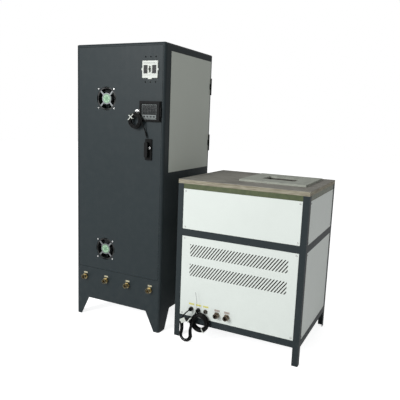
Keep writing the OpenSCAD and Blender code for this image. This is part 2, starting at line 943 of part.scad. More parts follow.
// Side door, a shallow tray whose rim stands in the opening.
module side_door() color("#848a82") placed() {
    inset = side_lap + side_gap;
    difference() {
        union() {
            block([side_sheet, side_w, side_h], [side_x, side_front, side_low]);
            block([side_return, side_w - 2 * inset, side_h - 2 * inset],
                  [side_x - side_return, side_front + inset, side_low + inset]);
        }
        block([side_return + cut, side_w - 2 * inset - 2 * side_sheet,
               side_h - 2 * inset - 2 * side_sheet],
              [side_x - side_return - cut, side_front + inset + side_sheet,
               side_low + inset + side_sheet]);
    }
}

// The moving leaves of the side door's hinges.
module side_leaves() color("#16181a") placed()
    for (z = side_hinge_z) difference() {
        union() {
            rod_up(barrel_r, knuckle_h - 2 * seat_gap,
                   [barrel_x, barrel_y, z - knuckle_h / 2 + seat_gap]);
            block([leaf_t, leaf_w + barrel_r, knuckle_h - 2 * seat_gap],
                  [side_x + side_sheet, barrel_y - leaf_w - barrel_r,
                   z - knuckle_h / 2 + seat_gap]);
        }
        rod_up(barrel_pin_r + run_clear, knuckle_h + 2 * cut,
               [barrel_x, barrel_y, z - knuckle_h / 2 - cut]);
    }

// Latch

module latch_plate() color("#1b1d1f") placed() difference() {
    upright(plate_reach, -plate_reach)
        translate([latch_x - latch_w / 2, latch_z - latch_h / 2])
        round_rect(latch_w, latch_h, plate_r);
    rod_front(spindle_r + run_clear, plate_reach + 2 * cut, [latch_axis_x, cut, latch_axis_z]);
    rod_front(key_r + run_clear, plate_reach + 2 * cut, [key_x, cut, key_z]);
}

// Handle with its spindle, and the cam behind the door. At rest both hang down.
module latch_handle() color("#232628") placed() {
    boss_y = -plate_reach - seat_gap;
    rod_front(latch_boss_r, latch_reach - plate_reach - seat_gap,
              [latch_axis_x, boss_y, latch_axis_z]);
    rod_back(spindle_r, cam_y + cam_t - boss_y, [latch_axis_x, boss_y, latch_axis_z]);
    block([lever_w, lever_t, latch_lever - lever_w / 2],
          [latch_axis_x - lever_w / 2, -latch_reach, latch_axis_z - latch_lever + lever_w / 2]);
    rod_back(lever_w / 2, lever_t,
             [latch_axis_x, -latch_reach, latch_axis_z - latch_lever + lever_w / 2]);
    block([cam_w, cam_t, cam_len], [latch_axis_x - cam_w / 2, cam_y, latch_axis_z - cam_len]);
}

module latch_key() color("#b9bcbb") placed() difference() {
    union() {
        rod_front(key_r, key_reach + cab_sheet + door_gap,
                  [key_x, cab_sheet + door_gap, key_z]);
        rod_front(key_ring_r, key_ring_t, [key_x, key_ring_t - key_reach, key_z]);
    }
    block([key_slot_w, key_slot_in + cut, key_slot_h],
          [key_x - key_slot_w / 2, -key_reach - cut, key_z - key_slot_h / 2]);
}

// Fans

module fan_plate(y, z)
    translate([fan_x - fan_w / 2, 0, z - fan_w / 2])
    upright(fan_flange_t, y) round_rect(fan_w, fan_w, fan_corner_r);

module fan_frame(z) {
    difference() {
        union() {
            fan_plate(fan_y, z);
            fan_plate(fan_y + fan_depth - fan_flange_t, z);
            rod_back(fan_duct_r + fan_wall, fan_depth, [fan_x, fan_y, z]);
        }
        rod_back(fan_duct_r, fan_depth + 2 * cut, [fan_x, fan_y - cut, z]);
        fan_corners(screw_hole_r, fan_depth + 2 * cut, fan_y - cut, z);
    }
    rod_back(fan_hub_r, fan_motor_t, [fan_x, fan_y, z]);
    rod_front(fan_label_r, fan_label_t, [fan_x, fan_y, z]);
    rod_back(fan_shaft_r, rotor_gap + rotor_cup_t, [fan_x, fan_y + fan_motor_t, z]);
    for (a = [45 : 90 : 315])
        translate([fan_x, fan_y, z])
        rotate([0, -a, 0])
        block([fan_duct_r + fan_wall / 2 - fan_hub_r / 2, fan_strut_t, fan_strut_w],
              [fan_hub_r / 2, 0, -fan_strut_w / 2]);
}

module fan_rotor(z) difference() {
    union() {
        rod_back(fan_hub_r, rotor_cup_t, [fan_x, rotor_y, z]);
        for (i = [0 : fan_blades - 1])
            translate([fan_x, rotor_y + rotor_cup_t / 2, z])
            rotate([0, i * 360 / fan_blades, 0])
            rotate([blade_pitch, 0, 0])
            block([fan_duct_r - fan_tip_gap - fan_hub_r + blade_root, blade_t, blade_chord],
                  [fan_hub_r - blade_root, -blade_t / 2, -blade_chord / 2]);
    }
    rod_back(fan_shaft_r + run_clear, rotor_cup_t + 2 * cut, [fan_x, rotor_y - cut, z]);
}

module upper_fan_frame() color("#1d1f21") placed() fan_frame(fan_high_z);

module upper_fan_rotor() color("#141516") placed() fan_rotor(fan_high_z);

module lower_fan_frame() color("#1d1f21") placed() fan_frame(fan_low_z);

module lower_fan_rotor() color("#141516") placed() fan_rotor(fan_low_z);

// Breaker

module breaker_case() color("#e8e8e4") placed() {
    axis_y = toggle_axis_in - nose_reach;
    difference() {
        union() {
            block([breaker_w, breaker_depth, breaker_h],
                  [breaker_x - breaker_w / 2, breaker_y, breaker_z - breaker_h / 2]);
            upright(nose_reach + breaker_y, -nose_reach) nose_outline(0);
        }
        block([toggle_slot_w, toggle_slot_d + cut, toggle_slot_h],
              [breaker_x - toggle_slot_w / 2, -nose_reach - cut, breaker_z - toggle_slot_h / 2]);
        for (side = [-1, 1])
            block([window_w, window_in + cut, window_h],
                  [breaker_x + side * window_off - window_w / 2, -nose_reach - cut,
                   breaker_z - window_h / 2]);
        breaker_ports(port_r, port_in + cut, breaker_y - cut);
    }
    rod_right(toggle_pin_r, toggle_slot_w, [breaker_x - toggle_slot_w / 2, axis_y, breaker_z]);
}

module breaker_toggle() color("#17181a") placed() {
    axis_y = toggle_axis_in - nose_reach;
    difference() {
        union() {
            rod_right(toggle_hub_r, toggle_w, [breaker_x - toggle_w / 2, axis_y, breaker_z]);
            block([toggle_w, toggle_axis_in + toggle_reach, toggle_h],
                  [breaker_x - toggle_w / 2, -nose_reach - toggle_reach,
                   breaker_z - toggle_h / 2]);
        }
        rod_right(toggle_pin_r + run_clear, toggle_w + 2 * cut,
                  [breaker_x - toggle_w / 2 - cut, axis_y, breaker_z]);
    }
}

// Meter

function button_x(i) = meter_x + (i - (button_n + 1) / 2) * button_pitch;

button_z = meter_z - meter_h / 2 + button_up;

module meter_case() color("#2b2e30") placed() difference() {
    union() {
        block([meter_w, meter_reach, meter_h],
              [meter_x - meter_w / 2, -meter_reach, meter_z - meter_h / 2]);
        block([meter_body_w, meter_depth, meter_body_h],
              [meter_x - meter_body_w / 2, 0, meter_z - meter_body_h / 2]);
    }
    block([meter_w - 2 * meter_rim, display_in + cut, display_h],
          [meter_x - meter_w / 2 + meter_rim, -meter_reach - cut,
           meter_z + meter_h / 2 - meter_rim - display_h]);
    for (i = [1 : button_n])
        block([button_w + 2 * button_gap, button_deep + cut, button_h + 2 * button_gap],
              [button_x(i) - button_w / 2 - button_gap, -meter_reach - cut,
               button_z - button_h / 2 - button_gap]);
}

module meter_button(i) color("#3a3d40") placed()
    block([button_w, button_len + button_reach, button_h],
          [button_x(i) - button_w / 2, -meter_reach - button_reach, button_z - button_h / 2]);

// Raised frame round the meter, with the catch at its right edge.
module meter_frame() color("#25292c") placed() {
    left = meter_x + frame_shift - meter_frame_w / 2;
    low = meter_z + frame_step - meter_frame_h / 2;
    difference() {
        union() {
            upright(meter_frame_reach - frame_bevel, frame_bevel - meter_frame_reach)
                rect(meter_frame_w, meter_frame_h, [left, low]);
            upright(meter_frame_reach, -meter_frame_reach)
                rect(meter_frame_w - 2 * frame_bevel, meter_frame_h - 2 * frame_bevel,
                     [left + frame_bevel, low + frame_bevel]);
        }
        upright(meter_frame_reach + 2 * cut, -meter_frame_reach - cut)
            rect(meter_w + 2 * frame_gap, meter_h + 2 * frame_gap,
                 [meter_x - meter_w / 2 - frame_gap, meter_z - meter_h / 2 - frame_gap]);
    }
    block([clamp_w, clamp_reach, clamp_h],
          [left + meter_frame_w - clamp_w / 2, -clamp_reach, meter_z - clamp_h / 2]);
}

module cabinet_socket() color("#c4c6c6") placed() {
    rod_front(cab_socket_r, cab_socket_t, [cab_socket_x, 0, cab_socket_z]);
    rod_back(cab_socket_neck_r, cab_socket_back, [cab_socket_x, 0, cab_socket_z]);
}

// Water fittings, labels and screws

// A hexagon nut whose axis runs forward from a point.
module hex_front(at)
    translate(at) rotate([90, 0, 0]) cylinder(r = hex_flats / sqrt(3), h = hex_t, $fn = 6);

// A fitting in a sheet whose outer face is at y.
module fitting(x, y, z) difference() {
    union() {
        hex_front([x, y, z]);
        rod_front(neck_r, fit_reach + neck_back, [x, y + neck_back, z]);
        rod_front(collar_r, collar_t, [x, y - fit_reach + collar_t, z]);
    }
    rod_back(fit_bore_r, fit_bore_l + cut, [x, y - fit_reach - cut, z]);
}

module water_fittings() color("#b99a52") placed() {
    for (i = [0 : 3]) fitting(cab_fit_x + i * cab_fit_pitch, 0, cab_fit_z);
    for (x = tab_fit_x) fitting(x, panel_y, tab_fit_z);
}

module label(w, h, x, y, z) block([w, label_t, h], [x - w / 2, y - label_t, z - h / 2]);

module label_plates() color("#d9d3a0") placed() {
    for (i = [0 : 3])
        label(cab_tag_w, cab_tag_h, cab_fit_x + i * cab_fit_pitch, 0, cab_fit_z + cab_tag_up);
    for (x = socket_x) label(tape_w, tape_h, x, panel_y, socket_z + tape_up);
    for (x = tab_fit_x) label(tag_w, tag_h, x, panel_y, tab_fit_z + tag_up);
}

// A pan-head screw that goes back into a sheet at y.
module screw_back(x, y, z) {
    rod_front(screw_head_r, screw_head_t, [x, y, z]);
    rod_back(screw_r, screw_len, [x, y, z]);
}

module door_screws() color("#c9cbca") placed()
    for (z = [fan_low_z, fan_high_z], dx = [-1, 1], dz = [-1, 1])
        screw_back(fan_x + dx * fan_pitch / 2, 0, z + dz * fan_pitch / 2);

// Corner screws of the table's panels, as places along a face w wide.
function corner_places(w) = [
    for (u = [leg_w + panel_screw_in, w - leg_w - panel_screw_in],
         z = [low_top + panel_screw_in, mid_rail_z - panel_screw_in,
              up_low + panel_screw_in, ins_low - panel_screw_in]) [u, z]
];

module body_screws() color("#aeb1b0") placed() {
    for (p = corner_places(tab_w)) {
        screw_back(tab_x + p[0], panel_y, p[1]);
        translate([tab_x + tab_w / 2, tab_y + tab_d / 2, 0])
            rotate([0, 0, 180])
            screw_back(p[0] - tab_w / 2, panel_inset - tab_d / 2, p[1]);
    }
    for (p = corner_places(tab_d), turn = [90, -90])
        translate([tab_x + tab_w / 2, tab_y + tab_d / 2, 0])
            rotate([0, 0, turn])
            screw_back(p[0] - tab_d / 2, panel_inset - tab_w / 2, p[1]);
}

// Inside the cabinet

module mounting_plate() color("#b7bcbc") placed() {
    block([board_w, board_sheet, board_high - floor_top], [cab_sheet, board_y, floor_top]);
    block([board_w, board_foot, board_sheet], [cab_sheet, board_y, floor_top]);
    difference() {
        block([pedestal_w, board_y - breaker_y - breaker_depth, pedestal_h],
              [breaker_x - pedestal_w / 2, breaker_y + breaker_depth,
               breaker_z - pedestal_h / 2]);
        block([pedestal_w - 2 * board_sheet, board_y, pedestal_h + 2 * cut],
              [breaker_x - pedestal_w / 2 + board_sheet,
               breaker_y + breaker_depth + board_sheet, breaker_z - pedestal_h / 2 - cut]);
    }
}

module cold_plates() color("#c2c5c6") placed()
    for (z = cold_z) block([cold_w, cold_t, cold_h], [cold_x, board_y - cold_t, z]);

module power_modules() color("#2a2c2e") placed()
    for (z = cold_z, i = [0 : module_n - 1]) {
        x = cold_x + module_in + i * module_pitch;
        y = board_y - cold_t - module_t;
        low = z + (cold_h - module_h) / 2;
        block([module_w, module_t, module_h], [x, y, low]);
        for (k = [1 : 3]) rod_front(term_r, term_t, [x + module_w / 2, y, low + k * module_h / 4]);
    }

module dc_capacitors() color("#8d9194") placed()
    for (i = [0 : cap_n - 1]) {
        x = cap_x + i * cap_pitch;
        rod_front(cap_r, cap_l, [x, board_y, cap_z]);
        for (side = [-1, 1])
            rod_front(term_r, term_t, [x, board_y - cap_l, cap_z + side * cap_term_off]);
    }

module contactor() color("#d8d5c9") placed() {
    block([contactor_w, contactor_t - contactor_step_t, contactor_h],
          [contactor_x, board_y - contactor_t + contactor_step_t, contactor_z]);
    block([contactor_w, contactor_t, contactor_step_h],
          [contactor_x, board_y - contactor_t,
           contactor_z + (contactor_h - contactor_step_h) / 2]);
}

module control_board() color("#2f6b45") placed() {
    y = board_y - standoff_len - pcb_t;
    block([pcb_w, pcb_t, pcb_h], [pcb_x, y, pcb_z]);
    for (dx = [standoff_in, pcb_w - standoff_in], dz = [standoff_in, pcb_h - standoff_in])
        rod_front(standoff_r, standoff_len, [pcb_x + dx, board_y, pcb_z + dz]);
    for (i = [1 : 3], k = [1 : 4])
        block([chip_w, chip_t, chip_h],
              [pcb_x + i * chip_pitch_x - standoff_in, y - chip_t, pcb_z + k * chip_pitch_z]);
}

// Copper bars: across the cabinet's capacitors, and from the table's tanks to the coil.
module busbars() color("#b9703f") placed() {
    for (side = [-1, 1])
        block([(cap_n - 1) * cap_pitch + 2 * bus_w, bus_t, bus_w],
              [cap_x - bus_w, board_y - cap_l - term_t - bus_t,
               cap_z + side * cap_term_off - bus_w / 2]);
    y1 = well_cy - coil_hy;
    x1 = well_cx - coil_hx + coil_bend_r - coil_tail;
    z1 = coil_low_z;
    flat_z = tank_z + tank_h + stud_h;
    block([lug_t, lug_w, lug_w], [x1 - lug_t, y1 - lug_w / 2, z1 - lug_w / 2]);
    block([bus_t, bus_w, z1 - lug_w / 2 - flat_z],
          [x1 - lug_t / 2 - bus_t / 2, y1 - bus_w / 2, flat_z]);
    block([x1 - lug_t / 2 + bus_t / 2 - tank_x[0] + bus_w / 2, bus_w, bus_t],
          [tank_x[0] - bus_w / 2, y1 - bus_w / 2, flat_z]);
    x2 = well_cx - coil_hx;
    y2 = well_cy - coil_hy + coil_bend_r - coil_tail;
    z2 = coil_low_z + coil_pitch * coil_turns;
    block([lug_w, lug_t, lug_w], [x2 - lug_w / 2, y2 - lug_t, z2 - lug_w / 2]);
    block([bus_w, bus_t, z2 - lug_w / 2 - flat_z],
          [x2 - bus_w / 2, y2 - lug_t / 2 - bus_t / 2, flat_z]);
    block([x2 + bus_w / 2 - tank_x[1] + bus_w / 2, bus_w, bus_t],
          [tank_x[1] - bus_w / 2, y2 - lug_t / 2 - bus_w / 2, flat_z]);
}

module water_pipes() color("#4f7fa8") placed() {
    first = cab_fit_x;
    last = cab_fit_x + 3 * cab_fit_pitch;
    ports = [cold_x + cold_port_in, cold_x + cold_w - cold_port_in];
    under = cold_z[0] - pipe_turn_y;
    for (p = [[first, ports[0]], [last, ports[1]]])
        pipe([[p[0], neck_back, cab_fit_z], [p[0], pipe_back_y, cab_fit_z],
              [p[0], pipe_back_y, under], [p[1], pipe_back_y, under],
              [p[1], pipe_back_y, cold_z[0]]]);
    for (x = ports)
        pipe([[x, pipe_back_y, cold_z[0] + cold_h], [x, pipe_back_y, cold_z[1]]]);
    pipe([[first + cab_fit_pitch, neck_back, cab_fit_z],
          [first + cab_fit_pitch, pipe_turn_y, cab_fit_z],
          [first + cab_fit_pitch, pipe_turn_y, cab_fit_z + pipe_turn_y],
          [last - cab_fit_pitch, pipe_turn_y, cab_fit_z + pipe_turn_y],
          [last - cab_fit_pitch, pipe_turn_y, cab_fit_z],
          [last - cab_fit_pitch, neck_back, cab_fit_z]]);
    x1 = well_cx - coil_hx + coil_bend_r - coil_tail - lug_t;
    y1 = well_cy - coil_hy;
    pipe([[tab_fit_x[0], panel_y + neck_back, tab_fit_z],
          [tab_fit_x[0], pipe_turn_y, tab_fit_z],
          [tab_fit_x[0], pipe_turn_y, coil_low_z],
          [tab_fit_x[0], y1, coil_low_z],
          [x1, y1, coil_low_z]]);
    x2 = well_cx - coil_hx;
    y2 = well_cy - coil_hy + coil_bend_r - coil_tail - lug_t;
    z2 = coil_low_z + coil_pitch * coil_turns;
    pipe([[tab_fit_x[1], panel_y + neck_back, tab_fit_z],
          [tab_fit_x[1], pipe_turn_y, tab_fit_z],
          [tab_fit_x[1], pipe_turn_y, z2],
          [x2, pipe_turn_y, z2],
          [x2, y2, z2]]);
}

// Table

// One side's rails, drawn for a face w wide that looks forward, from its left corner.
module rails(w) {
    block([w, angle_t, mid_rail_h], [0, 0, mid_rail_z]);
    block([w, leg_w, angle_t], [0, 0, up_low - angle_t]);
    block([w, angle_t, low_rail_h], [0, 0, low_rail_z]);
    block([w, leg_w, angle_t], [0, 0, low_rail_z]);
    block([w - 2 * leg_w + 2 * cleat_lap, angle_t, leg_w],
          [leg_w - cleat_lap, panel_inset + panel_t, ins_low - leg_w]);
    block([w, leg_w - angle_t, angle_t], [0, angle_t, ins_low - angle_t]);
    for (x = [leg_w - cleat_lap, w - leg_w - cleat],
         z = [low_top - cleat_lap, mid_rail_z - cleat, up_low - cleat_lap,
              ins_low - cleat - cleat_lap])
        block([cleat + cleat_lap, angle_t, cleat + cleat_lap], [x, angle_t, z]);
}

module on_each_side() {
    middle = [tab_x + tab_w / 2, tab_y + tab_d / 2, 0];
    for (turn = [0, 180])
        translate(middle) rotate([0, 0, turn]) translate([-tab_w / 2, -tab_d / 2, 0]) children(0);
    for (turn = [90, -90])
        translate(middle) rotate([0, 0, turn]) translate([-tab_d / 2, -tab_w / 2, 0]) children(1);
}

module leg() {
    block([leg_w, angle_t, tab_top], [0, 0, 0]);
    block([angle_t, leg_w, tab_top], [0, 0, 0]);
}

module table_frame() color("#3f474b") placed() difference() {
    union() {
        on_each_side() {
            rails(tab_w);
            rails(tab_d);
        }
        for (mx = [0, 1], my = [0, 1])
            translate([tab_x + mx * tab_w, tab_y + my * tab_d, 0]) mirror([mx, 0, 0])
            mirror([0, my, 0]) leg();
    }
    middle = [tab_x + tab_w / 2, tab_y + tab_d / 2, 0];
    for (p = corner_places(tab_w), turn = [0, 180])
        translate(middle) rotate([0, 0, turn])
        rod_back(screw_hole_r, 3 * angle_t, [p[0] - tab_w / 2, -tab_d / 2 - cut, p[1]]);
    for (p = corner_places(tab_d), turn = [90, -90])
        translate(middle) rotate([0, 0, turn])
        rod_back(screw_hole_r, 3 * angle_t, [p[0] - tab_d / 2, -tab_w / 2 - cut, p[1]]);
}

// A panel between two legs of a face w wide, from z upwards, with its four screw holes.
module panel(w, z, h) difference() {
    block([w - 2 * leg_w - 2 * panel_gap, panel_t, h - 2 * panel_gap],
          [leg_w + panel_gap, panel_inset, z + panel_gap]);
    for (p = corner_places(w))
        rod_back(screw_hole_r, panel_t + 2 * cut, [p[0], panel_inset - cut, p[1]]);
}

module slot_row(z) intersection() {
    rect(tab_w - 2 * slot_margin, slot_h, [slot_margin, z - slot_h / 2]);
    for (i = [0 : floor(tab_w / slot_pitch)]) {
        x = i * slot_pitch;
        polygon([[x, z - slot_h / 2], [x + slot_w, z - slot_h / 2],
                 [x + slot_w + slot_lean, z + slot_h / 2], [x + slot_lean, z + slot_h / 2]]);
    }
}

module louvred_panel() color("#dfe6e3") placed() difference() {
    translate([tab_x, tab_y, 0]) difference() {
        panel(tab_w, low_top, mid_rail_z - low_top);
        upright(panel_t + 2 * cut, panel_inset - cut) slot_row(slot_high_z);
        upright(panel_t + 2 * cut, panel_inset - cut) slot_row(slot_low_z);
    }
    for (x = socket_x) rod_back(socket_shell_r, panel_t + 2 * cut, [x, panel_y - cut, socket_z]);
    for (x = tab_fit_x) rod_back(neck_r, panel_t + 2 * cut, [x, panel_y - cut, tab_fit_z]);
}

module front_upper_panel() color("#dfe6e3") placed()
    translate([tab_x, tab_y, 0]) panel(tab_w, up_low, ins_low - up_low);

module side_panels() color("#dfe6e3") placed()
    for (turn = [90, -90])
        translate([tab_x + tab_w / 2, tab_y + tab_d / 2, 0]) rotate([0, 0, turn])
        translate([-tab_d / 2, -tab_w / 2, 0]) {
            panel(tab_d, low_top, mid_rail_z - low_top);
            panel(tab_d, up_low, ins_low - up_low);
        }

module table_rear_panels() color("#dfe6e3") placed()
    translate([tab_x + tab_w / 2, tab_y + tab_d / 2, 0]) rotate([0, 0, 180])
    translate([-tab_w / 2, -tab_d / 2, 0]) {
        panel(tab_w, low_top, mid_rail_z - low_top);
        panel(tab_w, up_low, ins_low - up_low);
    }

module insulating_boards() color("#4c9a63") placed() {
    on_each_side() {
        block([tab_w - 2 * leg_w, ins_t, ins_h], [leg_w, panel_inset, ins_low]);
        block([tab_d - 2 * leg_w, ins_t, ins_h], [leg_w, panel_inset, ins_low]);
    }
    for (x = [well_cx - lining_w / 2 + bearer_in, well_cx + lining_w / 2 - bearer_w - bearer_in])
        block([bearer_w, tab_d - 2 * leg_w, bearer_h], [x, tab_y + leg_w, up_low - angle_t]);
}

module top_board() color("#8c8471") placed() difference() {
    block([tab_w, tab_d, board_t], [tab_x, tab_y, tab_top]);
    block([lining_w + 2 * board_hole_gap, lining_d + 2 * board_hole_gap, board_t + 2 * cut],
          [well_cx - lining_w / 2 - board_hole_gap, well_cy - lining_d / 2 - board_hole_gap,
           tab_top - cut]);
}

module slot_plate() color("#a9a28c") placed() difference() {
    block([plate_w, plate_d, plate_t], [well_cx - plate_w / 2, tab_y + plate_y, tab_h]);
    block([well_w, well_d, plate_t + 2 * cut],
          [well_cx - well_w / 2, well_cy - well_d / 2, tab_h - cut]);
}

module coil_lining() color("#d8cfba") placed() difference() {
    translate([well_cx - lining_w / 2, well_cy - lining_d / 2, lining_low_z])
        linear_extrude(tab_h - lining_low_z) round_rect(lining_w, lining_d, lining_r);
    block([well_w, well_d, tab_h - lining_floor_z + cut],
          [well_cx - well_w / 2, well_cy - well_d / 2, lining_floor_z]);
}

// A quarter bend of the coil's path about a corner, from an angle.
function bend(cx, cy, from) = [
    for (i = [0 : coil_bend_steps]) let (a = from + i * 90 / coil_bend_steps)
        [cx + coil_bend_r * cos(a), cy + coil_bend_r * sin(a)]
];

coil_turn = let (x = coil_hx - coil_bend_r, y = coil_hy - coil_bend_r)
    concat(bend(x, -y, -90), bend(x, y, 0), bend(-x, y, 90), bend(-x, -y, 180));

coil_path = [
    for (i = [0 : coil_turns * len(coil_turn) - coil_bend_steps - 1])
        let (p = coil_turn[i % len(coil_turn)])
        [well_cx + p[0], well_cy + p[1], coil_low_z + coil_pitch * i / len(coil_turn)]
];

coil_first = [well_cx - coil_hx + coil_bend_r - coil_tail, well_cy - coil_hy, coil_low_z];
coil_last = [well_cx - coil_hx, well_cy - coil_hy + coil_bend_r - coil_tail,
             coil_low_z + coil_pitch * coil_turns];

module induction_coil() color("#c27a45") placed()
    tube(concat([coil_first], coil_path, [coil_last]), coil_tube_r, coil_sides, [0, 0, 1]);

module tank_capacitors() color("#9aa0a2") placed()
    for (i = [0, 1]) {
        stud_y = i == 0 ? well_cy - coil_hy
            : well_cy - coil_hy + coil_bend_r - coil_tail - lug_t / 2;
        block([tank_w, tank_d, tank_h], [tank_x[i] - tank_w / 2, tank_y - tank_d / 2, tank_z]);
        rod_up(stud_r, stud_h, [tank_x[i], stud_y, tank_z + tank_h]);
    }

module tank_transformer() color("#6d5a4a") placed() {
    difference() {
        block([core_w, core_d, core_h], [core_x, core_y, tank_z]);
        block([core_w - 2 * core_leg, core_d + 2 * cut, core_h - 2 * core_leg],
              [core_x + core_leg, core_y - cut, tank_z + core_leg]);
    }
    for (x = [core_x, core_x + core_w - core_leg]) difference() {
        block([core_leg + 2 * winding_t, core_d + 2 * winding_t,
               core_h - 2 * core_leg - 2 * winding_end],
              [x - winding_t, core_y - winding_t, tank_z + core_leg + winding_end]);
        block([core_leg, core_d, core_h], [x, core_y, tank_z]);
    }
}

module table_floor() color("#8f9698") placed()
    block([tab_w - 2 * angle_t, tab_d - 2 * angle_t, table_plate_t],
          [tab_x + angle_t, tab_y + angle_t, low_rail_z + angle_t]);

module table_sockets() color("#26292b") placed()
    for (x = socket_x) difference() {
        union() {
            rod_front(socket_flange_r, socket_flange_t, [x, panel_y, socket_z]);
            rod_front(socket_shell_r, socket_reach + socket_back,
                      [x, panel_y + socket_back, socket_z]);
        }
        rod_back(socket_bore_r, socket_reach + cut, [x, panel_y - socket_reach - cut, socket_z]);
    }

// Cords

sensor_route = concat([sensor_points[0] - sensor_cord_d * sensor_start_dir], sensor_points,
                      [sensor_end]);
signal_route = concat([signal_start], signal_points,
                      [signal_points[len(signal_points) - 1] + signal_cord_d * signal_end_dir,
                       signal_end]);
hank_route = concat([hank_start], hank_points, [hank_end]);
sensor_lead = concat([sensor_end], sensor_lead_mid, [sensor_plug_at]);
signal_lead = curve([socket_x[1], plug_end_y, socket_z],
                    [socket_x[1], plug_end_y - signal_lead_pull, socket_z],
                    signal_start - signal_lead_pull * signal_start_dir, signal_start, lead_steps);
hank_lead = curve([socket_x[0], plug_end_y, socket_z],
                  [socket_x[0], plug_end_y - hank_lead_pull, socket_z],
                  hank_start - hank_lead_pull * hank_start_dir, hank_start, lead_steps);

module cabinet_coil() color("#17181a") placed()
    tube(sensor_route, sensor_cord_d / 2, wound_sides, [0, 1, 0]);

module cabinet_lead() color("#17181a") placed()
    tube(sensor_lead, sensor_cord_d / 2, lead_sides, [1, 0, 0]);

// A plug's sleeve from a point along a direction, with its contact tip.
module cord_end(at, dir) {
    rod_along(end_r, end_l, at, dir);
    rod_along(end_tip_r, end_tip_l, at + end_l * dir, dir);
}

module cabinet_plug() color("#1b1d1f") placed() {
    rod_front(elbow_ring_r, elbow_ring_t, [cab_socket_x, -cab_socket_t, cab_socket_z]);
    rod_front(elbow_r, -sensor_c[1] - cab_socket_t + elbow_arm_r,
              [cab_socket_x, -cab_socket_t, cab_socket_z]);
    rod_along(elbow_arm_r, sensor_line - sensor_cord_d,
              [cab_socket_x, sensor_c[1], cab_socket_z], sensor_start_dir);
    cord_end(sensor_plug_at, unit(sensor_plug_at - sensor_lead_mid[len(sensor_lead_mid) - 1]));
}

// A band round a winding's section at an angle of its ring.
module band(c, angle, r_in, r_out, front, back)
    translate([c[0], 0, c[2]]) rotate([0, -angle, 0]) difference() {
        block([r_out - r_in + 2 * tie_gap + 2 * tie_wall,
               back - front + 2 * tie_gap + 2 * tie_wall, tie_w],
              [r_in - tie_gap - tie_wall, front - tie_gap - tie_wall, -tie_w / 2]);
        block([r_out - r_in + 2 * tie_gap, back - front + 2 * tie_gap, tie_w + 2 * cut],
              [r_in - tie_gap, front - tie_gap, -tie_w / 2 - cut]);
    }

module cabinet_tie() color("#f2f2ee") placed() {
    r = sensor_cord_d / 2;
    inner = sensor_r - sensor_pitch * sensor_turns / sensor_layers - r;
    front = sensor_c[1] - sensor_step - r;
    band(sensor_c, tie_angle, inner, sensor_r + r, front, sensor_c[1] + r);
    translate([sensor_c[0], 0, sensor_c[2]]) rotate([0, -tie_angle, 0])
        translate([(inner + sensor_r) / 2, front - tie_gap - tie_wall, 0])
        rotate([0, tie_angle - tie_tail_angle, 0])
        block([tie_tail_l, tie_wall, tie_tail_w], [-tie_tail_l / 2, -tie_wall, -tie_tail_w / 2]);
}

module table_coil() color("#17181a") placed()
    tube(signal_route, signal_cord_d / 2, wound_sides, [0, 1, 0]);

module table_coil_lead() color("#17181a") placed()
    tube(signal_lead, signal_cord_d / 2, lead_sides, [1, 0, 0]);

module table_hank() color("#1b1c1d") placed()
    tube(hank_route, hank_cord_d / 2, wound_sides, [0, 1, 0]);

module table_hank_lead() color("#1b1c1d") placed()
    tube(hank_lead, hank_cord_d / 2, lead_sides, [1, 0, 0]);

module table_plugs() color("#1b1d1f") placed() {
    for (x = [socket_x[0], socket_x[1]]) {
        rod_front(plug_ring_r, plug_ring_t, [x, plug_y, socket_z]);
        rod_front(plug_body_r, plug_body_t, [x, plug_y - plug_ring_t, socket_z]);
    }
    cord_end(signal_end, signal_end_dir);
    cord_end(hank_end, hank_end_dir);
}

module table_ties() color("#f2f2ee") placed() {
    r = signal_cord_d / 2;
    inner = signal_r - signal_pitch * signal_turns / signal_layers - r;
    band(signal_c, signal_tie_angle, inner, signal_r + r, signal_c[1] - r,
         signal_c[1] + (signal_layers - 1) * signal_pitch + r);
    // The hank's band crosses its top arc, and its tag lies on the front of the loops.
    translate([hank_x, hank_y, hank_z]) rotate([-hank_tilt, 0, 0])
        translate([0, 0, hank_run / 2])
        band([0, 0, 0], hank_tie_angle, hank_r - hank_pitch * hank_in_turns - hank_cord_d / 2,
             hank_r + hank_cord_d / 2, -hank_step / 2 - hank_cord_d / 2,
             hank_step / 2 + hank_cord_d / 2);
    translate(hank_tag_at) rotate([0, -hank_tag_turn, 0])
        block([tag_plate_w, tag_plate_t, tag_plate_h],
              [-tag_plate_w / 2, -tag_plate_t, -tag_plate_h / 2]);
}

// One line for each node
cabinet_shell();
cabinet_floor();
rear_panel();
front_door();
hinges();
side_door();
side_leaves();
latch_plate();
latch_handle();
latch_key();
upper_fan_frame();
upper_fan_rotor();
lower_fan_frame();
lower_fan_rotor();
breaker_case();
breaker_toggle();
meter_case();
meter_button(1);  // meter_button_1
meter_button(2);  // meter_button_2
meter_button(3);  // meter_button_3
meter_button(4);  // meter_button_4
meter_frame();
cabinet_socket();
water_fittings();
label_plates();
door_screws();
body_screws();
mounting_plate();
cold_plates();
power_modules();
dc_capacitors();
contactor();
control_board();
busbars();
water_pipes();
table_frame();
insulating_boards();
top_board();
slot_plate();
coil_lining();
induction_coil();
front_upper_panel();
louvred_panel();
side_panels();
table_rear_panels();
tank_capacitors();
tank_transformer();
table_floor();
table_sockets();
cabinet_coil();
cabinet_lead();
cabinet_plug();
cabinet_tie();
table_coil();
table_coil_lead();
table_hank();
table_hank_lead();
table_plugs();
table_ties();
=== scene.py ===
# %% [markdown]
# # An induction heating machine, dressed for its portrait
# The object is two units that stand side by side: a tall power cabinet and a low heating table.
# The solids already exist, at their real size, as a frame of named nodes on named bodies. This
# lesson loads them, gives every surface a finish, and adds the pieces that solids cannot show
# well: wound cords, rubber seals, a breaker's marks, the glass of a meter, plug nuts, a dark
# sheet of painted shade behind the louvres and the tail of a cable tie.

# %% Load the frame
import bpy, bmesh, math
from mathutils import Matrix, Vector


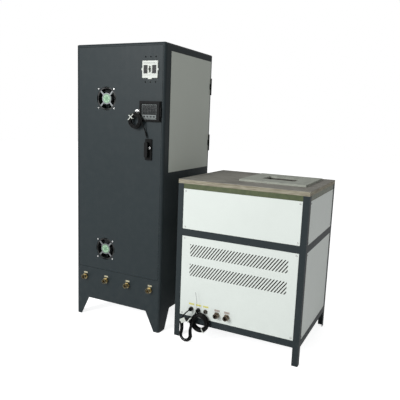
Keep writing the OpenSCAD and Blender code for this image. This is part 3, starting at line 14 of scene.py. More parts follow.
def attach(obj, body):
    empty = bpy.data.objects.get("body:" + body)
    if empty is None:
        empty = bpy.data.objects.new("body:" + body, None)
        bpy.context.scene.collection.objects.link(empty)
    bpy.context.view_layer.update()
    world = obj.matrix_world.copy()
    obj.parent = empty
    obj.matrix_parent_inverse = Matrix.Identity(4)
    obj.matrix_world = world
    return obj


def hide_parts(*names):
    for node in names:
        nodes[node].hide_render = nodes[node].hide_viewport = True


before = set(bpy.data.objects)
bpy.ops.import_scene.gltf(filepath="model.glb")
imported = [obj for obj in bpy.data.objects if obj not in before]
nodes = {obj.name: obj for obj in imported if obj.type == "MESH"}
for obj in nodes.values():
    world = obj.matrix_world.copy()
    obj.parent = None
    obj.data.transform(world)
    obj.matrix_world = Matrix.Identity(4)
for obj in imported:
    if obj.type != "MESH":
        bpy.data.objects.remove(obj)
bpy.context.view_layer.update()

# %% [markdown]
# Everything on the machine is measured from the cabinet's left front corner, in millimetres.
# The frame puts its origin in the middle of the footprint, so one small helper turns a place on
# the drawing into a place in the scene. Names in capitals that hold lengths are in millimetres.

# %% From the drawing to the scene
MM, TO_MM = 0.001, 1000.0
MIDDLE = Vector((691.0, 298.0, 0.0))

def place(x, y, z):
    return (Vector((x, y, z)) - MIDDLE) * MM

print("cabinet corner at", tuple(place(0, 0, 0)))

# %% [markdown]
# The camera comes first, because each finish is judged through it. It stands 2.2 m in front of
# the panels and half a metre right of the table, 1.22 m up, looks left and a little down, and
# leans two degrees, as a hand held camera does. A 43.5 mm lens on a 36 mm sensor gives the same
# convergence of the verticals as in the photograph.

# %% Camera
YAW, PITCH, ROLL = -0.4619, -0.1614, 0.0379
EYE = (1910.1, -2230.3, 1218.8)
FOCAL_PX, PICTURE_PX, SENSOR_WIDTH = 483.6075, 400.0, 36.0
SHIFT_X, SHIFT_Y = 0.0077, -0.0099
ahead = Vector((math.sin(YAW) * math.cos(PITCH), math.cos(YAW) * math.cos(PITCH), math.sin(PITCH)))
level = Vector((math.cos(YAW), -math.sin(YAW), 0.0))
over = level.cross(ahead)
right = math.cos(ROLL) * level + math.sin(ROLL) * over
up = -math.sin(ROLL) * level + math.cos(ROLL) * over
camera_data = bpy.data.cameras.new("portrait_camera")
camera_data.sensor_width = SENSOR_WIDTH
camera_data.lens = FOCAL_PX / PICTURE_PX * SENSOR_WIDTH
camera_data.shift_x = SHIFT_X
camera_data.shift_y = SHIFT_Y
camera = bpy.data.objects.new("portrait_camera", camera_data)
turn = Matrix((right, up, -ahead)).transposed().to_4x4()
camera.matrix_world = Matrix.Translation(place(*EYE)) @ turn
bpy.context.scene.collection.objects.link(camera)
bpy.context.scene.camera = camera
print("lens", round(camera_data.lens, 2), "mm")

# %% [markdown]
# Three cords hang on the fronts. Each is one unbroken run: out of its plug, round its coil and on
# to its end piece. A coil is wound the way hands wind it, spiralling in and out again in layers,
# and the cord climbs to the next layer in the half turn where it reverses. Because a cord keeps
# one thickness everywhere, a curve with a round bevel is the natural way to make it: the points
# are its centre line, and the bevel gives the jacket.

# %% Helpers for cords
STEPS = 24
TINY = 1e-9

def reach(t, per_layer):
    "How many turns a spiral has come in from its outside, going in and out again."
    layer = int(t / per_layer + TINY)
    part = t - layer * per_layer
    return part if layer % 2 == 0 else per_layer - part

def climbed(t, per_layer, layers):
    "How many layers have been climbed, each in the half turn round a reversal."
    return sum(min(1.0, max(0.0, (t - k * per_layer) / 0.5 + 0.5)) for k in range(1, layers))

def round_coil(centre, radius, pitch, step, start, turns, layers, way):
    "A spiral coil that faces the front: `pitch` is in a layer, `step` from layer to layer."
    points = []
    for i in range(int(round(turns * STEPS)) + 1):
        t = min(turns, i / STEPS)
        a = math.radians(start + way * 360.0 * t)
        q = radius - pitch * reach(min(t, turns - 1e-6), turns / layers)
        points.append(Vector((centre[0] + q * math.cos(a),
                              centre[1] + step * climbed(t, turns / layers, layers),
                              centre[2] + q * math.sin(a))))
    return points

def heading(angle, way):
    "Which way a cord runs at an angle of a coil."
    a = math.radians(angle)
    return way * Vector((-math.sin(a), 0.0, math.cos(a)))

def pulled(a, b, c, d, n):
    "A smooth run from a to d, leaving towards b and arriving from c."
    out = []
    for i in range(n + 1):
        t = i / n
        s = 1.0 - t
        out.append(s * s * s * a + 3 * s * s * t * b + 3 * s * t * t * c + t * t * t * d)
    return out

def run_length(points):
    return sum((b - a).length for a, b in zip(points, points[1:]))

def cord_curve(name, route, diameter, body, replaced):
    "A round cord along a route in drawing millimetres, as one poly spline with a round bevel."
    data = bpy.data.curves.new(name, "CURVE")
    data.dimensions = "3D"
    data.bevel_depth = 1.0
    data.bevel_resolution = 3
    data.use_fill_caps = True
    spline = data.splines.new("POLY")
    spline.points.add(len(route) - 1)
    for point, at in zip(spline.points, route):
        point.co, point.radius = (*place(*at), 1.0), diameter / 2 * MM
    cord = bpy.data.objects.new(name, data)
    bpy.context.scene.collection.objects.link(cord)
    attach(cord, body)
    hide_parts(*replaced)
    print(name, "is", round(run_length(route) * MM, 3), "m long")
    return cord

# %% [markdown]
# The sensor cord on the front door leaves an elbow plug on the round socket, makes six turns and
# drops to a small plug that hangs above the latch.

# %% Sensor cord on the front door
SENSOR_D, SENSOR_AT, SENSOR_R = 6.0, (421.0, -18.0, 1187.0), 43.0
SENSOR_PITCH, SENSOR_STEP, SENSOR_LAYERS, CLOCKWISE = 6.6, -8.0, 2, -1
SENSOR_START, SENSOR_TURNS = 69.2, 6.15
SENSOR_DROP = ((466, -24, 1178), (470, -18, 1160), (475, -8.5, 1142), (479, -8, 1130))
sensor_coil = round_coil(SENSOR_AT, SENSOR_R, SENSOR_PITCH, SENSOR_STEP, SENSOR_START, SENSOR_TURNS,
                         SENSOR_LAYERS, CLOCKWISE)
sensor_out = heading(SENSOR_START, CLOCKWISE)
sensor_down = heading(SENSOR_START - 360 * SENSOR_TURNS, CLOCKWISE)
sensor_route = [sensor_coil[0] - SENSOR_D * sensor_out] + sensor_coil
sensor_route.append(sensor_coil[-1] + SENSOR_D * sensor_down)
sensor_route += [Vector(point) for point in SENSOR_DROP]
sensor_cord = cord_curve("sensor_cord", sensor_route, SENSOR_D, "front_door",
                         ("cabinet_coil", "cabinet_lead"))

# %% [markdown]
# The signal cord leaves the second plug of the table and is wound into a flat round coil of four
# layers. Its lead is one soft bend from the plug to the coil's outside, so a Bezier run between
# two known directions is enough, and the coil itself follows from its turns and its pitch.

# %% Signal cord in front of the table
SOCKET_Z, PLUG_END, LEAD_POINTS = 178.0, 10.0, 16
SIGNAL_D, SIGNAL_AT, SIGNAL_R, SIGNAL_PLUG_X = 6.0, (841.0, 2.2, 118.0), 51.0, 819
SIGNAL_PITCH, SIGNAL_STEP, SIGNAL_LAYERS, ANTICLOCKWISE = 6.6, 6.6, 4, 1
SIGNAL_START, SIGNAL_TURNS, SIGNAL_PULL = 135.0, 11.04, 15
SIGNAL_TAIL = (6, 20)
signal_coil = round_coil(SIGNAL_AT, SIGNAL_R, SIGNAL_PITCH, SIGNAL_STEP, SIGNAL_START, SIGNAL_TURNS,
                         SIGNAL_LAYERS, ANTICLOCKWISE)
signal_in = heading(SIGNAL_START, ANTICLOCKWISE)
signal_out = heading(SIGNAL_START + 360 * SIGNAL_TURNS, ANTICLOCKWISE)
signal_start = signal_coil[0] - SIGNAL_D * signal_in
signal_lead = pulled(Vector((SIGNAL_PLUG_X, PLUG_END, SOCKET_Z)),
                     Vector((SIGNAL_PLUG_X, PLUG_END - SIGNAL_PULL, SOCKET_Z)),
                     signal_start - SIGNAL_PULL * signal_in, signal_start, LEAD_POINTS)
signal_tail = [signal_coil[-1] + reached * signal_out for reached in SIGNAL_TAIL]
signal_route = signal_lead + signal_coil + signal_tail
signal_cord = cord_curve("signal_cord", signal_route, SIGNAL_D, "stand",
                         ("table_coil", "table_coil_lead"))

# %% [markdown]
# The cord of the first plug is hanked and reaches down to the floor. A hank is wound over the
# hand: its loops are long, with round ends and a slight waist, and a tie holds them near the top.
# Its top leans back a few degrees towards the panel, so the flat loops are tilted at the end.

# %% Hanked cord
HANK_D, HANK_R, HANK_RUN, HANK_TILT = 7.0, 41.0, 58.0, math.radians(6.0)
HANK_X, HANK_Y, HANK_LIFT, HANK_WAIST = 771, -16, 0.2, 0.14
HANK_PITCH, HANK_STEP = 8.9, 8.0
HANK_START, HANK_TURNS, HANK_REVERSAL = 0.45, 3.75, 2.175
HANK_PLUG_X, HANK_PULL, HANK_TAIL = 776, 22, 8
HANK_Z = ((HANK_RUN / 2 + HANK_R) * math.cos(HANK_TILT) + HANK_STEP / 2 * math.sin(HANK_TILT)
          + HANK_D / 2 + HANK_LIFT)

def loop_point(share, width):
    "A place on one long loop: up the right run, over the top, down the left run and round."
    u = share % 1.0
    q = 4 * u - math.floor(4 * u)
    slim = width * (1 - HANK_WAIST * math.sin(math.pi * q))
    a = math.pi * q
    if u < 0.25:
        return slim, HANK_RUN * (q - 0.5)
    if u < 0.5:
        return width * math.cos(a), HANK_RUN / 2 + width * math.sin(a)
    if u < 0.75:
        return -slim, HANK_RUN * (0.5 - q)
    return -width * math.cos(a), -HANK_RUN / 2 - width * math.sin(a)

def on_hank(point, out):
    "A place on the tilted hank, from one on a flat loop and its distance from the middle layer."
    return Vector((HANK_X + point[0],
                   HANK_Y + point[1] * math.sin(HANK_TILT) - out * math.cos(HANK_TILT),
                   HANK_Z + point[1] * math.cos(HANK_TILT) + out * math.sin(HANK_TILT)))

hank_loops = []
for i in range(int(HANK_TURNS * STEPS) + 1):
    t = i / STEPS
    wound = t if t < HANK_REVERSAL else 2 * HANK_REVERSAL - t
    rise = min(1.0, max(0.0, (t - HANK_REVERSAL) / 0.5 + 0.5))
    flat = loop_point(HANK_START + t, HANK_R - HANK_PITCH * wound)
    hank_loops.append(on_hank(flat, HANK_STEP * (rise - 0.5)))
hank_in = (hank_loops[1] - hank_loops[0]).normalized()
hank_out = (hank_loops[-1] - hank_loops[-2]).normalized()
hank_start = hank_loops[0] - HANK_D * hank_in
hank_lead = pulled(Vector((HANK_PLUG_X, PLUG_END, SOCKET_Z)),
                   Vector((HANK_PLUG_X, PLUG_END - HANK_PULL, SOCKET_Z)),
                   hank_start - HANK_PULL * hank_in, hank_start, LEAD_POINTS)
hank_route = hank_lead + hank_loops + [hank_loops[-1] + HANK_TAIL * hank_out]
hank_cord = cord_curve("hanked_cord", hank_route, HANK_D, "stand",
                       ("table_hank", "table_hank_lead"))

# %% [markdown]
# A finish is a small node tree. Written out link by link it is hard to read, so one class wraps a
# socket and lets Python's own signs add the Math nodes: `0.4 + 0.1 * grain` is then a sentence
# about the surface. A second class holds one material, and its `node` method makes every other
# kind of node from a type, its settings and its sockets.

# %% Shader helpers
class Signal:
    "A value that varies over a surface."
    def __init__(self, finish, socket):
        self.finish, self.socket = finish, socket

    def math(self, operation, *values, clamp=False):
        sockets = dict(enumerate(values))
        return self.finish.node("ShaderNodeMath", {"operation": operation, "use_clamp": clamp}, sockets)

    def __add__(self, other): return self.math("ADD", self, other)
    def __radd__(self, other): return self.math("ADD", other, self)
    def __sub__(self, other): return self.math("SUBTRACT", self, other)
    def __rsub__(self, other): return self.math("SUBTRACT", other, self)
    def __mul__(self, other): return self.math("MULTIPLY", self, other)
    def __rmul__(self, other): return self.math("MULTIPLY", other, self)
    def __truediv__(self, other): return self.math("DIVIDE", self, other)
    def __gt__(self, other): return self.math("GREATER_THAN", self, other)
    def __lt__(self, other): return self.math("LESS_THAN", self, other)
    def __pow__(self, other): return self.math("POWER", self, other)
    def size(self): return self.math("ABSOLUTE", self)
    def clamped(self): return self.math("ADD", self, 0.0, clamp=True)
    def ramp(self, low, high): return ((self - low) / (high - low)).clamped()
    def beside(self, name): return Signal(self.finish, self.socket.node.outputs[name])

def tone(red, green, blue):
    "A colour picked on a screen, 0 to 255, as the light values that shaders use."
    def light(v):
        v /= 255.0
        return v / 12.92 if v <= 0.04045 else ((v + 0.055) / 1.055) ** 2.4
    return (light(red), light(green), light(blue), 1.0)

class Finish:
    "One material: a Principled shader and what feeds it."
    def __init__(self, name, **constants):
        self.material = bpy.data.materials.new(name)
        self.material.use_nodes = True
        self.tree = self.material.node_tree
        self.shader = self.tree.nodes["Principled BSDF"]
        self.out = self.tree.nodes["Material Output"]
        for socket, value in constants.items():
            self.shader.inputs[socket.replace("_", " ")].default_value = value

    def node(self, kind, settings=None, sockets=None, output=0):
        made = self.tree.nodes.new(kind)
        for name, value in (settings or {}).items():
            setattr(made, name, value)
        for name, value in (sockets or {}).items():
            self.plug(made.inputs[name], value)
        return Signal(self, made.outputs[output])

    def plug(self, socket, value):
        if isinstance(value, Signal):
            self.tree.links.new(value.socket, socket)
        else:
            socket.default_value = value

    def feed(self, **signals):
        for name, value in signals.items():
            self.plug(self.shader.inputs[name.replace("_", " ")], value)

    def place(self, scale=(1, 1, 1), turn=(0, 0, 0)):
        "Object coordinates in metres, stretched and turned."
        raw = self.node("ShaderNodeTexCoord", output="Object")
        return self.node("ShaderNodeMapping", {}, {"Vector": raw, "Scale": scale, "Rotation": turn})

    def axes(self):
        x = self.node("ShaderNodeSeparateXYZ", {}, {0: self.node("ShaderNodeTexCoord", output="Object")})
        return x, x.beside("Y"), x.beside("Z")

    def noise(self, where, scale, detail=3.0, rough=0.5):
        return self.node("ShaderNodeTexNoise", {}, {"Vector": where, "Scale": scale, "Detail": detail,
                                                    "Roughness": rough})

    def mix(self, share, first, second, mode="MIX"):
        "Two colours by a share."
        return self.node("ShaderNodeMix", {"data_type": "RGBA", "blend_type": mode},
                         {0: share, 6: first, 7: second}, 2)

    def grey(self, value):
        return self.node("ShaderNodeCombineColor", {}, {0: value, 1: value, 2: value})

    def bump(self, height, depth):
        return self.node("ShaderNodeBump", {}, {"Height": height, "Distance": depth, "Strength": 1.0})

def dress(finish, *things):
    "Gives nodes, by name, or pieces, as objects, a finish."
    for thing in things:
        target = nodes[thing] if isinstance(thing, str) else thing
        target.data.materials.clear()
        target.data.materials.append(finish.material)
    print(finish.material.name, "on", len(things))

# %% [markdown]
# The cabinet and the table's frame are powder coated. The powder melts into a skin that is a
# little uneven, like orange peel, so the colour is almost constant while the light on it is not:
# a fine bump does the peel, and a slow noise does the cloudiness of a large sheet. Near the floor
# dust settles on the paint and makes it paler.

# %% Powder coats
def powder_coat(name, colour, dusty, roughness=0.42, peel=0.00006, cloud=0.10, gloss=0.3):
    coat = Finish(name, Specular_IOR_Level=gloss)
    where = coat.place()
    height = coat.axes()[2]
    slow = coat.noise(where, 2.6, 4.0)
    fine = coat.noise(where, 520.0, 2.0)
    speck = coat.noise(where, 1500.0, 1.0)
    shade = 1.0 + cloud * (slow - 0.5) + 0.10 * (speck - 0.5)
    base = coat.mix(1.0, tone(*colour), coat.grey(shade), "MULTIPLY")
    low = (1.0 - height.ramp(0.0, 0.42)) ** 2.0
    patch = coat.noise(where, 23.0, 5.0, 0.6).ramp(0.42, 0.75)
    base = coat.mix(dusty * (low * 0.7 + 0.3) * patch, base, tone(148, 146, 140))
    grain = coat.noise(coat.place(scale=(1, 1, 0.06)), 60.0, 3.0)
    coat.feed(Base_Color=base, Roughness=roughness + 0.10 * (slow - 0.5) + 0.12 * (grain - 0.5),
              Normal=coat.bump(fine + 0.35 * speck, peel))
    return coat

slate_powder = powder_coat("slate_powder", (38, 47, 50), 0.05, 0.48, gloss=0.22)
grey_powder = powder_coat("grey_powder", (198, 204, 195), 0.06)
white_powder = powder_coat("white_powder", (224, 231, 226), 0.07, 0.36)
black_powder = powder_coat("black_powder", (12, 13, 14), 0.02, gloss=0.1)
dress(slate_powder, "cabinet_shell", "front_door", "rear_panel", "table_frame")
dress(grey_powder, "side_door")
dress(white_powder, "front_upper_panel", "louvred_panel", "side_panels", "table_rear_panels")
dress(black_powder, "hinges", "side_leaves", "latch_plate")

# %% [markdown]
# Bare metals differ mostly in how they were worked. Rolled sheet keeps fine lines along one axis,
# zinc keeps the frost pattern of its crystals, turned brass is smooth and a little tarnished, and
# copper tube browns where hands and heat reach it.

# %% Metals
def drawn_metal(name, colour, roughness, along, tarnish=(90, 84, 76), tarnished=0.25):
    "Metal with fine lines; `along` stretches them, small on the axis that they follow."
    metal = Finish(name, Metallic=1.0)
    lines = metal.noise(metal.place(scale=along), 700.0, 4.0, 0.7)
    slow = metal.noise(metal.place(), 18.0, 4.0, 0.6)
    base = metal.mix(tarnished * slow.ramp(0.45, 0.75), tone(*colour), tone(*tarnish))
    metal.feed(Base_Color=base, Roughness=roughness + 0.16 * (lines - 0.5) + 0.14 * (slow - 0.5),
               Normal=metal.bump(lines, 0.00002))
    return metal

zinc = Finish("zinc_sheet", Metallic=1.0)
frost = zinc.node("ShaderNodeTexVoronoi", {"feature": "F1"},
                  {"Vector": zinc.place(), "Scale": 55.0}, "Color")
frost_value = zinc.node("ShaderNodeRGBToBW", {}, {0: frost})
zinc.feed(Base_Color=zinc.mix(frost_value, tone(150, 154, 156), tone(196, 199, 200)),
          Roughness=0.34 + 0.22 * frost_value,
          Normal=zinc.bump(frost_value, 0.00003))
steel = drawn_metal("bright_metal", (205, 206, 205), 0.24, (1, 1, 0.05), (120, 118, 114), 0.15)
dark_nickel = drawn_metal("dark_nickel", (104, 100, 94), 0.3, (1, 0.05, 1), (58, 52, 46), 0.4)
aluminium = drawn_metal("aluminium", (190, 193, 195), 0.33, (0.05, 1, 1), (128, 130, 131), 0.2)
copper = drawn_metal("copper", (186, 112, 78), 0.30, (1, 1, 1), (96, 58, 42), 0.6)
dress(zinc, "cabinet_floor", "mounting_plate", "table_floor")
dress(steel, "door_screws", "body_screws", "latch_key", "cabinet_socket")
dress(aluminium, "cold_plates")
dress(dark_nickel, "table_sockets")
dress(copper, "busbars", "induction_coil")

# %% [markdown]
# Moulded plastic has no grain of its own: the mould gives it one gloss all over, and a fine
# spark-eroded texture that is only seen where light grazes it.

# %% Plastics and insulation
def moulded(name, colour, roughness=0.42, texture=0.00003, cloud=0.08, gloss=0.35):
    plastic = Finish(name, Specular_IOR_Level=gloss)
    where = plastic.place()
    fine = plastic.noise(where, 1800.0, 2.0)
    slow = plastic.noise(where, 40.0, 3.0)
    shade = 1.0 + cloud * (slow - 0.5)
    plastic.feed(Base_Color=plastic.mix(1.0, tone(*colour), plastic.grey(shade), "MULTIPLY"),
                 Roughness=roughness + 0.12 * (slow - 0.5), Normal=plastic.bump(fine, texture))
    return plastic

black_plastic = moulded("black_plastic", (11, 12, 13), 0.38, cloud=0.3, gloss=0.15)
# The fan blades use the black plastic lightened to grey, which paints in their sheen.
blade_plastic_painted_sheen = moulded("blade_plastic_painted_sheen", (40, 44, 45), 0.28, cloud=0.3)
white_plastic = moulded("white_plastic", (206, 211, 204), 0.35)
sleeve = moulded("capacitor_sleeve", (36, 58, 92), 0.3)
hose = moulded("water_hose", (64, 104, 140), 0.32)
dress(blade_plastic_painted_sheen, "upper_fan_rotor", "lower_fan_rotor")
dress(black_plastic, "latch_handle", "breaker_toggle",
      "cabinet_plug", "table_plugs", "power_modules", "contactor", "tank_capacitors")
dress(white_plastic, "breaker_case", "cabinet_tie", "table_ties")
dress(sleeve, "dc_capacitors")
dress(hose, "water_pipes")

# %% [markdown]
# The table's board takes heat and scale all day. It is a pressed board: a grey-brown face with
# streaks from the rolls, darker stains where hot parts were put down, and a pale raw edge.

# %% Boards
BOARD_TOP = 888.5
board = Finish("table_board", Specular_IOR_Level=0.3)
streak = board.noise(board.place(scale=(0.22, 1.0, 1.0)), 42.0, 6.0, 0.65)
fibre = board.noise(board.place(scale=(0.08, 1.0, 1.0)), 420.0, 3.0, 0.6)
stain = board.noise(board.place(), 7.0, 5.0, 0.6)
face = board.mix(streak.ramp(0.32, 0.68), tone(122, 120, 113), tone(166, 165, 156))
face = board.mix(0.45 * fibre.ramp(0.4, 0.7), face, tone(96, 86, 74))
face = board.mix(0.55 * stain.ramp(0.52, 0.72), face, tone(82, 78, 72))
edge = board.mix(board.noise(board.place(scale=(0.3, 0.3, 6.0)), 60.0, 4.0).ramp(0.35, 0.7),
                 tone(120, 112, 96), tone(176, 172, 152))
board.feed(Base_Color=board.mix(board.axes()[2] > BOARD_TOP * MM, edge, face),
           Roughness=0.62 + 0.25 * (streak - 0.5), Normal=board.bump(fibre + streak, 0.0002))

slab = Finish("slot_board", Specular_IOR_Level=0.3)
cloudy = slab.noise(slab.place(), 26.0, 6.0, 0.62)
fleck = slab.noise(slab.place(), 240.0, 3.0, 0.7)
slab.feed(Base_Color=slab.mix((0.7 * cloudy + 0.3 * fleck).ramp(0.35, 0.65),
                              tone(150, 154, 145), tone(184, 188, 177)),
          Roughness=0.7 + 0.2 * (cloudy - 0.5), Normal=slab.bump(fleck + cloudy, 0.0002))

glass_mat = Finish("insulating_board", Specular_IOR_Level=0.5)
weave = glass_mat.node("ShaderNodeTexWave", {"wave_type": "BANDS", "bands_direction": "Z"},
                       {"Vector": glass_mat.place(), "Scale": 160.0, "Distortion": 3.0, "Detail": 2.0})
mottle = glass_mat.noise(glass_mat.place(), 30.0, 5.0, 0.6)
glass_mat.feed(Base_Color=glass_mat.mix((0.5 * weave + mottle).ramp(0.4, 1.0),
                                        tone(50, 62, 36), tone(84, 94, 56)),
               Roughness=0.35 + 0.2 * (mottle - 0.5), Normal=glass_mat.bump(weave, 0.00005))

refractory = Finish("refractory_lining", Specular_IOR_Level=0.2)
grit = refractory.noise(refractory.place(), 300.0, 6.0, 0.75)
scorch = refractory.noise(refractory.place(), 14.0, 4.0, 0.6)
refractory.feed(Base_Color=refractory.mix(scorch.ramp(0.35, 0.7), tone(92, 89, 83), tone(50, 47, 44)),
                Roughness=0.85 + 0.1 * (grit - 0.5), Normal=refractory.bump(grit, 0.0006))

circuit = Finish("circuit_board", Specular_IOR_Level=0.5)
track = circuit.node("ShaderNodeTexBrick", {}, {
    "Vector": circuit.place(turn=(math.pi / 2, 0, 0)), "Scale": 90.0,
    "Color1": tone(24, 92, 58), "Color2": tone(30, 108, 68), "Mortar": tone(52, 140, 88)})
circuit.feed(Base_Color=track, Roughness=0.3 + 0.1 * circuit.noise(circuit.place(), 200.0))

core = Finish("iron_core", Metallic=0.6)
leaves = core.node("ShaderNodeTexWave", {"wave_type": "BANDS", "bands_direction": "Y"},
                   {"Vector": core.place(), "Scale": 320.0, "Distortion": 0.4})
core.feed(Base_Color=core.mix(leaves, tone(52, 50, 48), tone(98, 92, 86)), Roughness=0.45 + 0.2 * leaves,
          Normal=core.bump(leaves, 0.00008))
dress(board, "top_board")
dress(slab, "slot_plate")
dress(glass_mat, "insulating_boards")
dress(refractory, "coil_lining")
dress(circuit, "control_board")
dress(core, "tank_transformer")

# %% [markdown]
# A cord's jacket is soft black PVC: matt, with the faint ribs that the extruder leaves and a bloom
# of grey where it has been handled.

# %% Cord jacket
jacket = Finish("cord_jacket", Specular_IOR_Level=0.15)
bloom = jacket.noise(jacket.place(), 90.0, 4.0, 0.6)
ribs = jacket.noise(jacket.place(), 2200.0, 1.0)
jacket.feed(Base_Color=jacket.mix(bloom.ramp(0.35, 0.8), tone(7, 8, 8), tone(24, 25, 26)),
            Roughness=0.42 + 0.25 * (bloom - 0.5), Normal=jacket.bump(ribs, 0.00004))
dress(jacket, sensor_cord, signal_cord, hank_cord)

# %% [markdown]
# A few parts carry more than one finish on one solid. The fan's body is black around its duct,
# bare metal on its arms, and has a pale green disc on the motor. The places are known, so the
# finish asks how far a point is from the axis and picks the paint by that distance.

# %% Fans
FAN_X, FAN_Z, BETWEEN_FANS = 212.0, (436.0, 1303.0), 870.0
DISC_R, DISC_Y, MOTIF_R, RING_R = 25.2, 1.95, 21.0, 56.6
PETALS, PETAL_DEPTH, PETAL_EDGE = 6.0, 6.0, (12.0, 14.0)
fan_finish = Finish("fan_body", Specular_IOR_Level=0.5)
x, y, z = fan_finish.axes()
side = (x - place(FAN_X, 0, 0).x) * TO_MM
upper_fan = z > BETWEEN_FANS * MM
rise = z * TO_MM - (FAN_Z[0] + (FAN_Z[1] - FAN_Z[0]) * upper_fan)
from_axis = (side * side + rise * rise) ** 0.5
on_disc = (from_axis < DISC_R) * (y < place(0, DISC_Y, 0).y)
on_ring = from_axis > RING_R
petal = side.math("SINE", PETALS * side.math("ARCTAN2", rise, side))
motif = (petal * PETAL_DEPTH + from_axis).ramp(*PETAL_EDGE) * (from_axis < MOTIF_R)
wear = fan_finish.noise(fan_finish.place(), 160.0, 4.0, 0.6)
disc = fan_finish.mix(motif, tone(104, 146, 112), tone(158, 188, 162))
body_paint = fan_finish.mix(on_ring, fan_finish.mix(wear, tone(96, 100, 102), tone(142, 146, 147)),
                            fan_finish.mix(wear, tone(12, 13, 14), tone(30, 32, 33)))
fan_finish.feed(Base_Color=fan_finish.mix(on_disc, body_paint, disc),
                Metallic=(1.0 - on_disc) * (1.0 - on_ring) * 0.85,
                Roughness=0.34 + 0.2 * wear, Normal=fan_finish.bump(wear, 0.00003))
dress(fan_finish, "upper_fan_frame", "lower_fan_frame")

# %% [markdown]
# The label plates are three kinds of tape: yellow over the sockets, grey over the table's water
# fittings and cream over the cabinet's. All are blank, thumbed and a little lifted.

# %% Label tapes
YELLOW_UP_TO_X, TABLE_TAPES_UP_TO_Z = 880, 240.0
tape = Finish("label_tape", Specular_IOR_Level=0.4)
x, y, z = tape.axes()
thumbed = tape.noise(tape.place(), 160.0, 4.0, 0.65)
yellow = tape.mix(thumbed, tone(226, 222, 130), tone(204, 198, 112))
grey_tag = tape.mix(thumbed, tone(186, 176, 168), tone(150, 140, 132))
cream = tape.mix(thumbed, tone(206, 202, 176), tone(160, 154, 128))
on_table = tape.mix(x > place(YELLOW_UP_TO_X, 0, 0).x, yellow, grey_tag)
tape.feed(Base_Color=tape.mix(z > TABLE_TAPES_UP_TO_Z * MM, on_table, cream),
          Roughness=0.45 + 0.2 * thumbed, Normal=tape.bump(thumbed, 0.0001))
dress(tape, "label_plates")

# %% [markdown]
# The water fittings are turned brass. Those on the cabinet are still yellow; the two on the table
# stand near the heat and have browned.

# %% Brass fittings
brass = Finish("turned_brass", Metallic=1.0)
on_the_table = brass.axes()[0] > 0.0
cut_lines = brass.noise(brass.place(scale=(1, 0.05, 1)), 700.0, 4.0, 0.7)
film = brass.noise(brass.place(), 30.0, 4.0, 0.6)
fresh = brass.mix(film.ramp(0.4, 0.75), tone(196, 182, 142), tone(128, 112, 80))
browned = brass.mix(film.ramp(0.4, 0.75), tone(150, 138, 122), tone(76, 66, 56))
brass.feed(Base_Color=brass.mix(on_the_table, fresh, browned), Roughness=0.26 + 0.18 * film,
           Normal=brass.bump(cut_lines, 0.00003))
dress(brass, "water_fittings")

# %% [markdown]
# The meter has a pale line round its bezel, which is a painted highlight along the bezel's edge,
# and a pale printed strip behind its four dark buttons, both on one black moulding.

# %% Meter
METER, BEZEL_Y = (499.0, 1237.0), -6.5
LINE_IN, LINE_OUT = (43.6, 36.6), (46.2, 39.2)
STRIP_LOW, STRIP_HIGH, STRIP_HALF = -34.5, -15.5, 42.0
meter = Finish("meter_moulding", Specular_IOR_Level=0.2)
x, y, z = meter.axes()
across = ((x - place(METER[0], 0, 0).x) * TO_MM).size()
above = z * TO_MM - METER[1]
outside = across.math("MAXIMUM", across > LINE_IN[0], above.size() > LINE_IN[1])
# The pale line round the bezel is painted highlight; only the strip behind the buttons is print.
bezel_highlight = outside * (across < LINE_OUT[0]) * (above.size() < LINE_OUT[1])
strip = (above > STRIP_LOW) * (above < STRIP_HIGH) * (across < STRIP_HALF)
front = y < place(0, BEZEL_Y, 0).y
print_and_highlight = bezel_highlight.math("MAXIMUM", bezel_highlight, strip) * front
fine = meter.noise(meter.place(), 900.0, 2.0)
meter.feed(Base_Color=meter.mix(print_and_highlight, meter.mix(fine, tone(12, 13, 14), tone(22, 23, 24)),
                                meter.mix(fine, tone(112, 119, 119), tone(136, 143, 142))),
           Roughness=0.36 + 0.12 * fine, Normal=meter.bump(fine, 0.00003))
dress(meter, "meter_case")
dark_button = moulded("dark_button", (42, 45, 46), 0.5)
dress(dark_button, "meter_button_1", "meter_button_2", "meter_button_3", "meter_button_4")
dress(black_powder, "meter_frame")

# %% [markdown]
# New pieces are modelled in a bmesh, the editable mesh behind every Blender tool. Three helpers
# cover most of them: a block with eased edges, a turned ring or cup, which is a profile spun
# round an axis, and the step that makes the mesh an object, gives it a finish and lets it ride.

# %% Modelling helpers
SHARP, FACING, WELD_M = math.radians(35), 0.9, 1e-6

def keep(bm, name, body, finish, smooth=False):
    "Makes a mesh an object that rides on a body."
    bmesh.ops.recalc_face_normals(bm, faces=bm.faces)
    mesh = bpy.data.meshes.new(name)
    bm.to_mesh(mesh)
    bm.free()
    if smooth:
        mesh.shade_smooth()
        mesh.set_sharp_from_angle(angle=SHARP)
    made = bpy.data.objects.new(name, mesh)
    bpy.context.scene.collection.objects.link(made)
    dress(finish, made)
    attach(made, body)
    print(name, len(mesh.polygons), "faces")

def round_off(bm, edges, offset, segments):
    "Rounds edges by an offset in millimetres."
    bmesh.ops.bevel(bm, geom=edges, offset=offset * MM, segments=segments, profile=0.5,
                    affect="EDGES", material=-1)

def block(bm, low, high, ease=0.0):
    "A block between two corners in drawing millimetres, with eased edges."
    low, high = place(*low), place(*high)
    at = Matrix.Translation((low + high) / 2) @ Matrix.Diagonal((*(high - low), 1.0))
    made = bmesh.ops.create_cube(bm, size=1.0, matrix=at)
    if ease:
        round_off(bm, list({e for v in made["verts"] for e in v.link_edges}), ease, 2)

def large_faces(bm):
    "The faces that look straight to the front or to the back."
    return [f for f in bm.faces if abs(f.normal.y) > FACING]

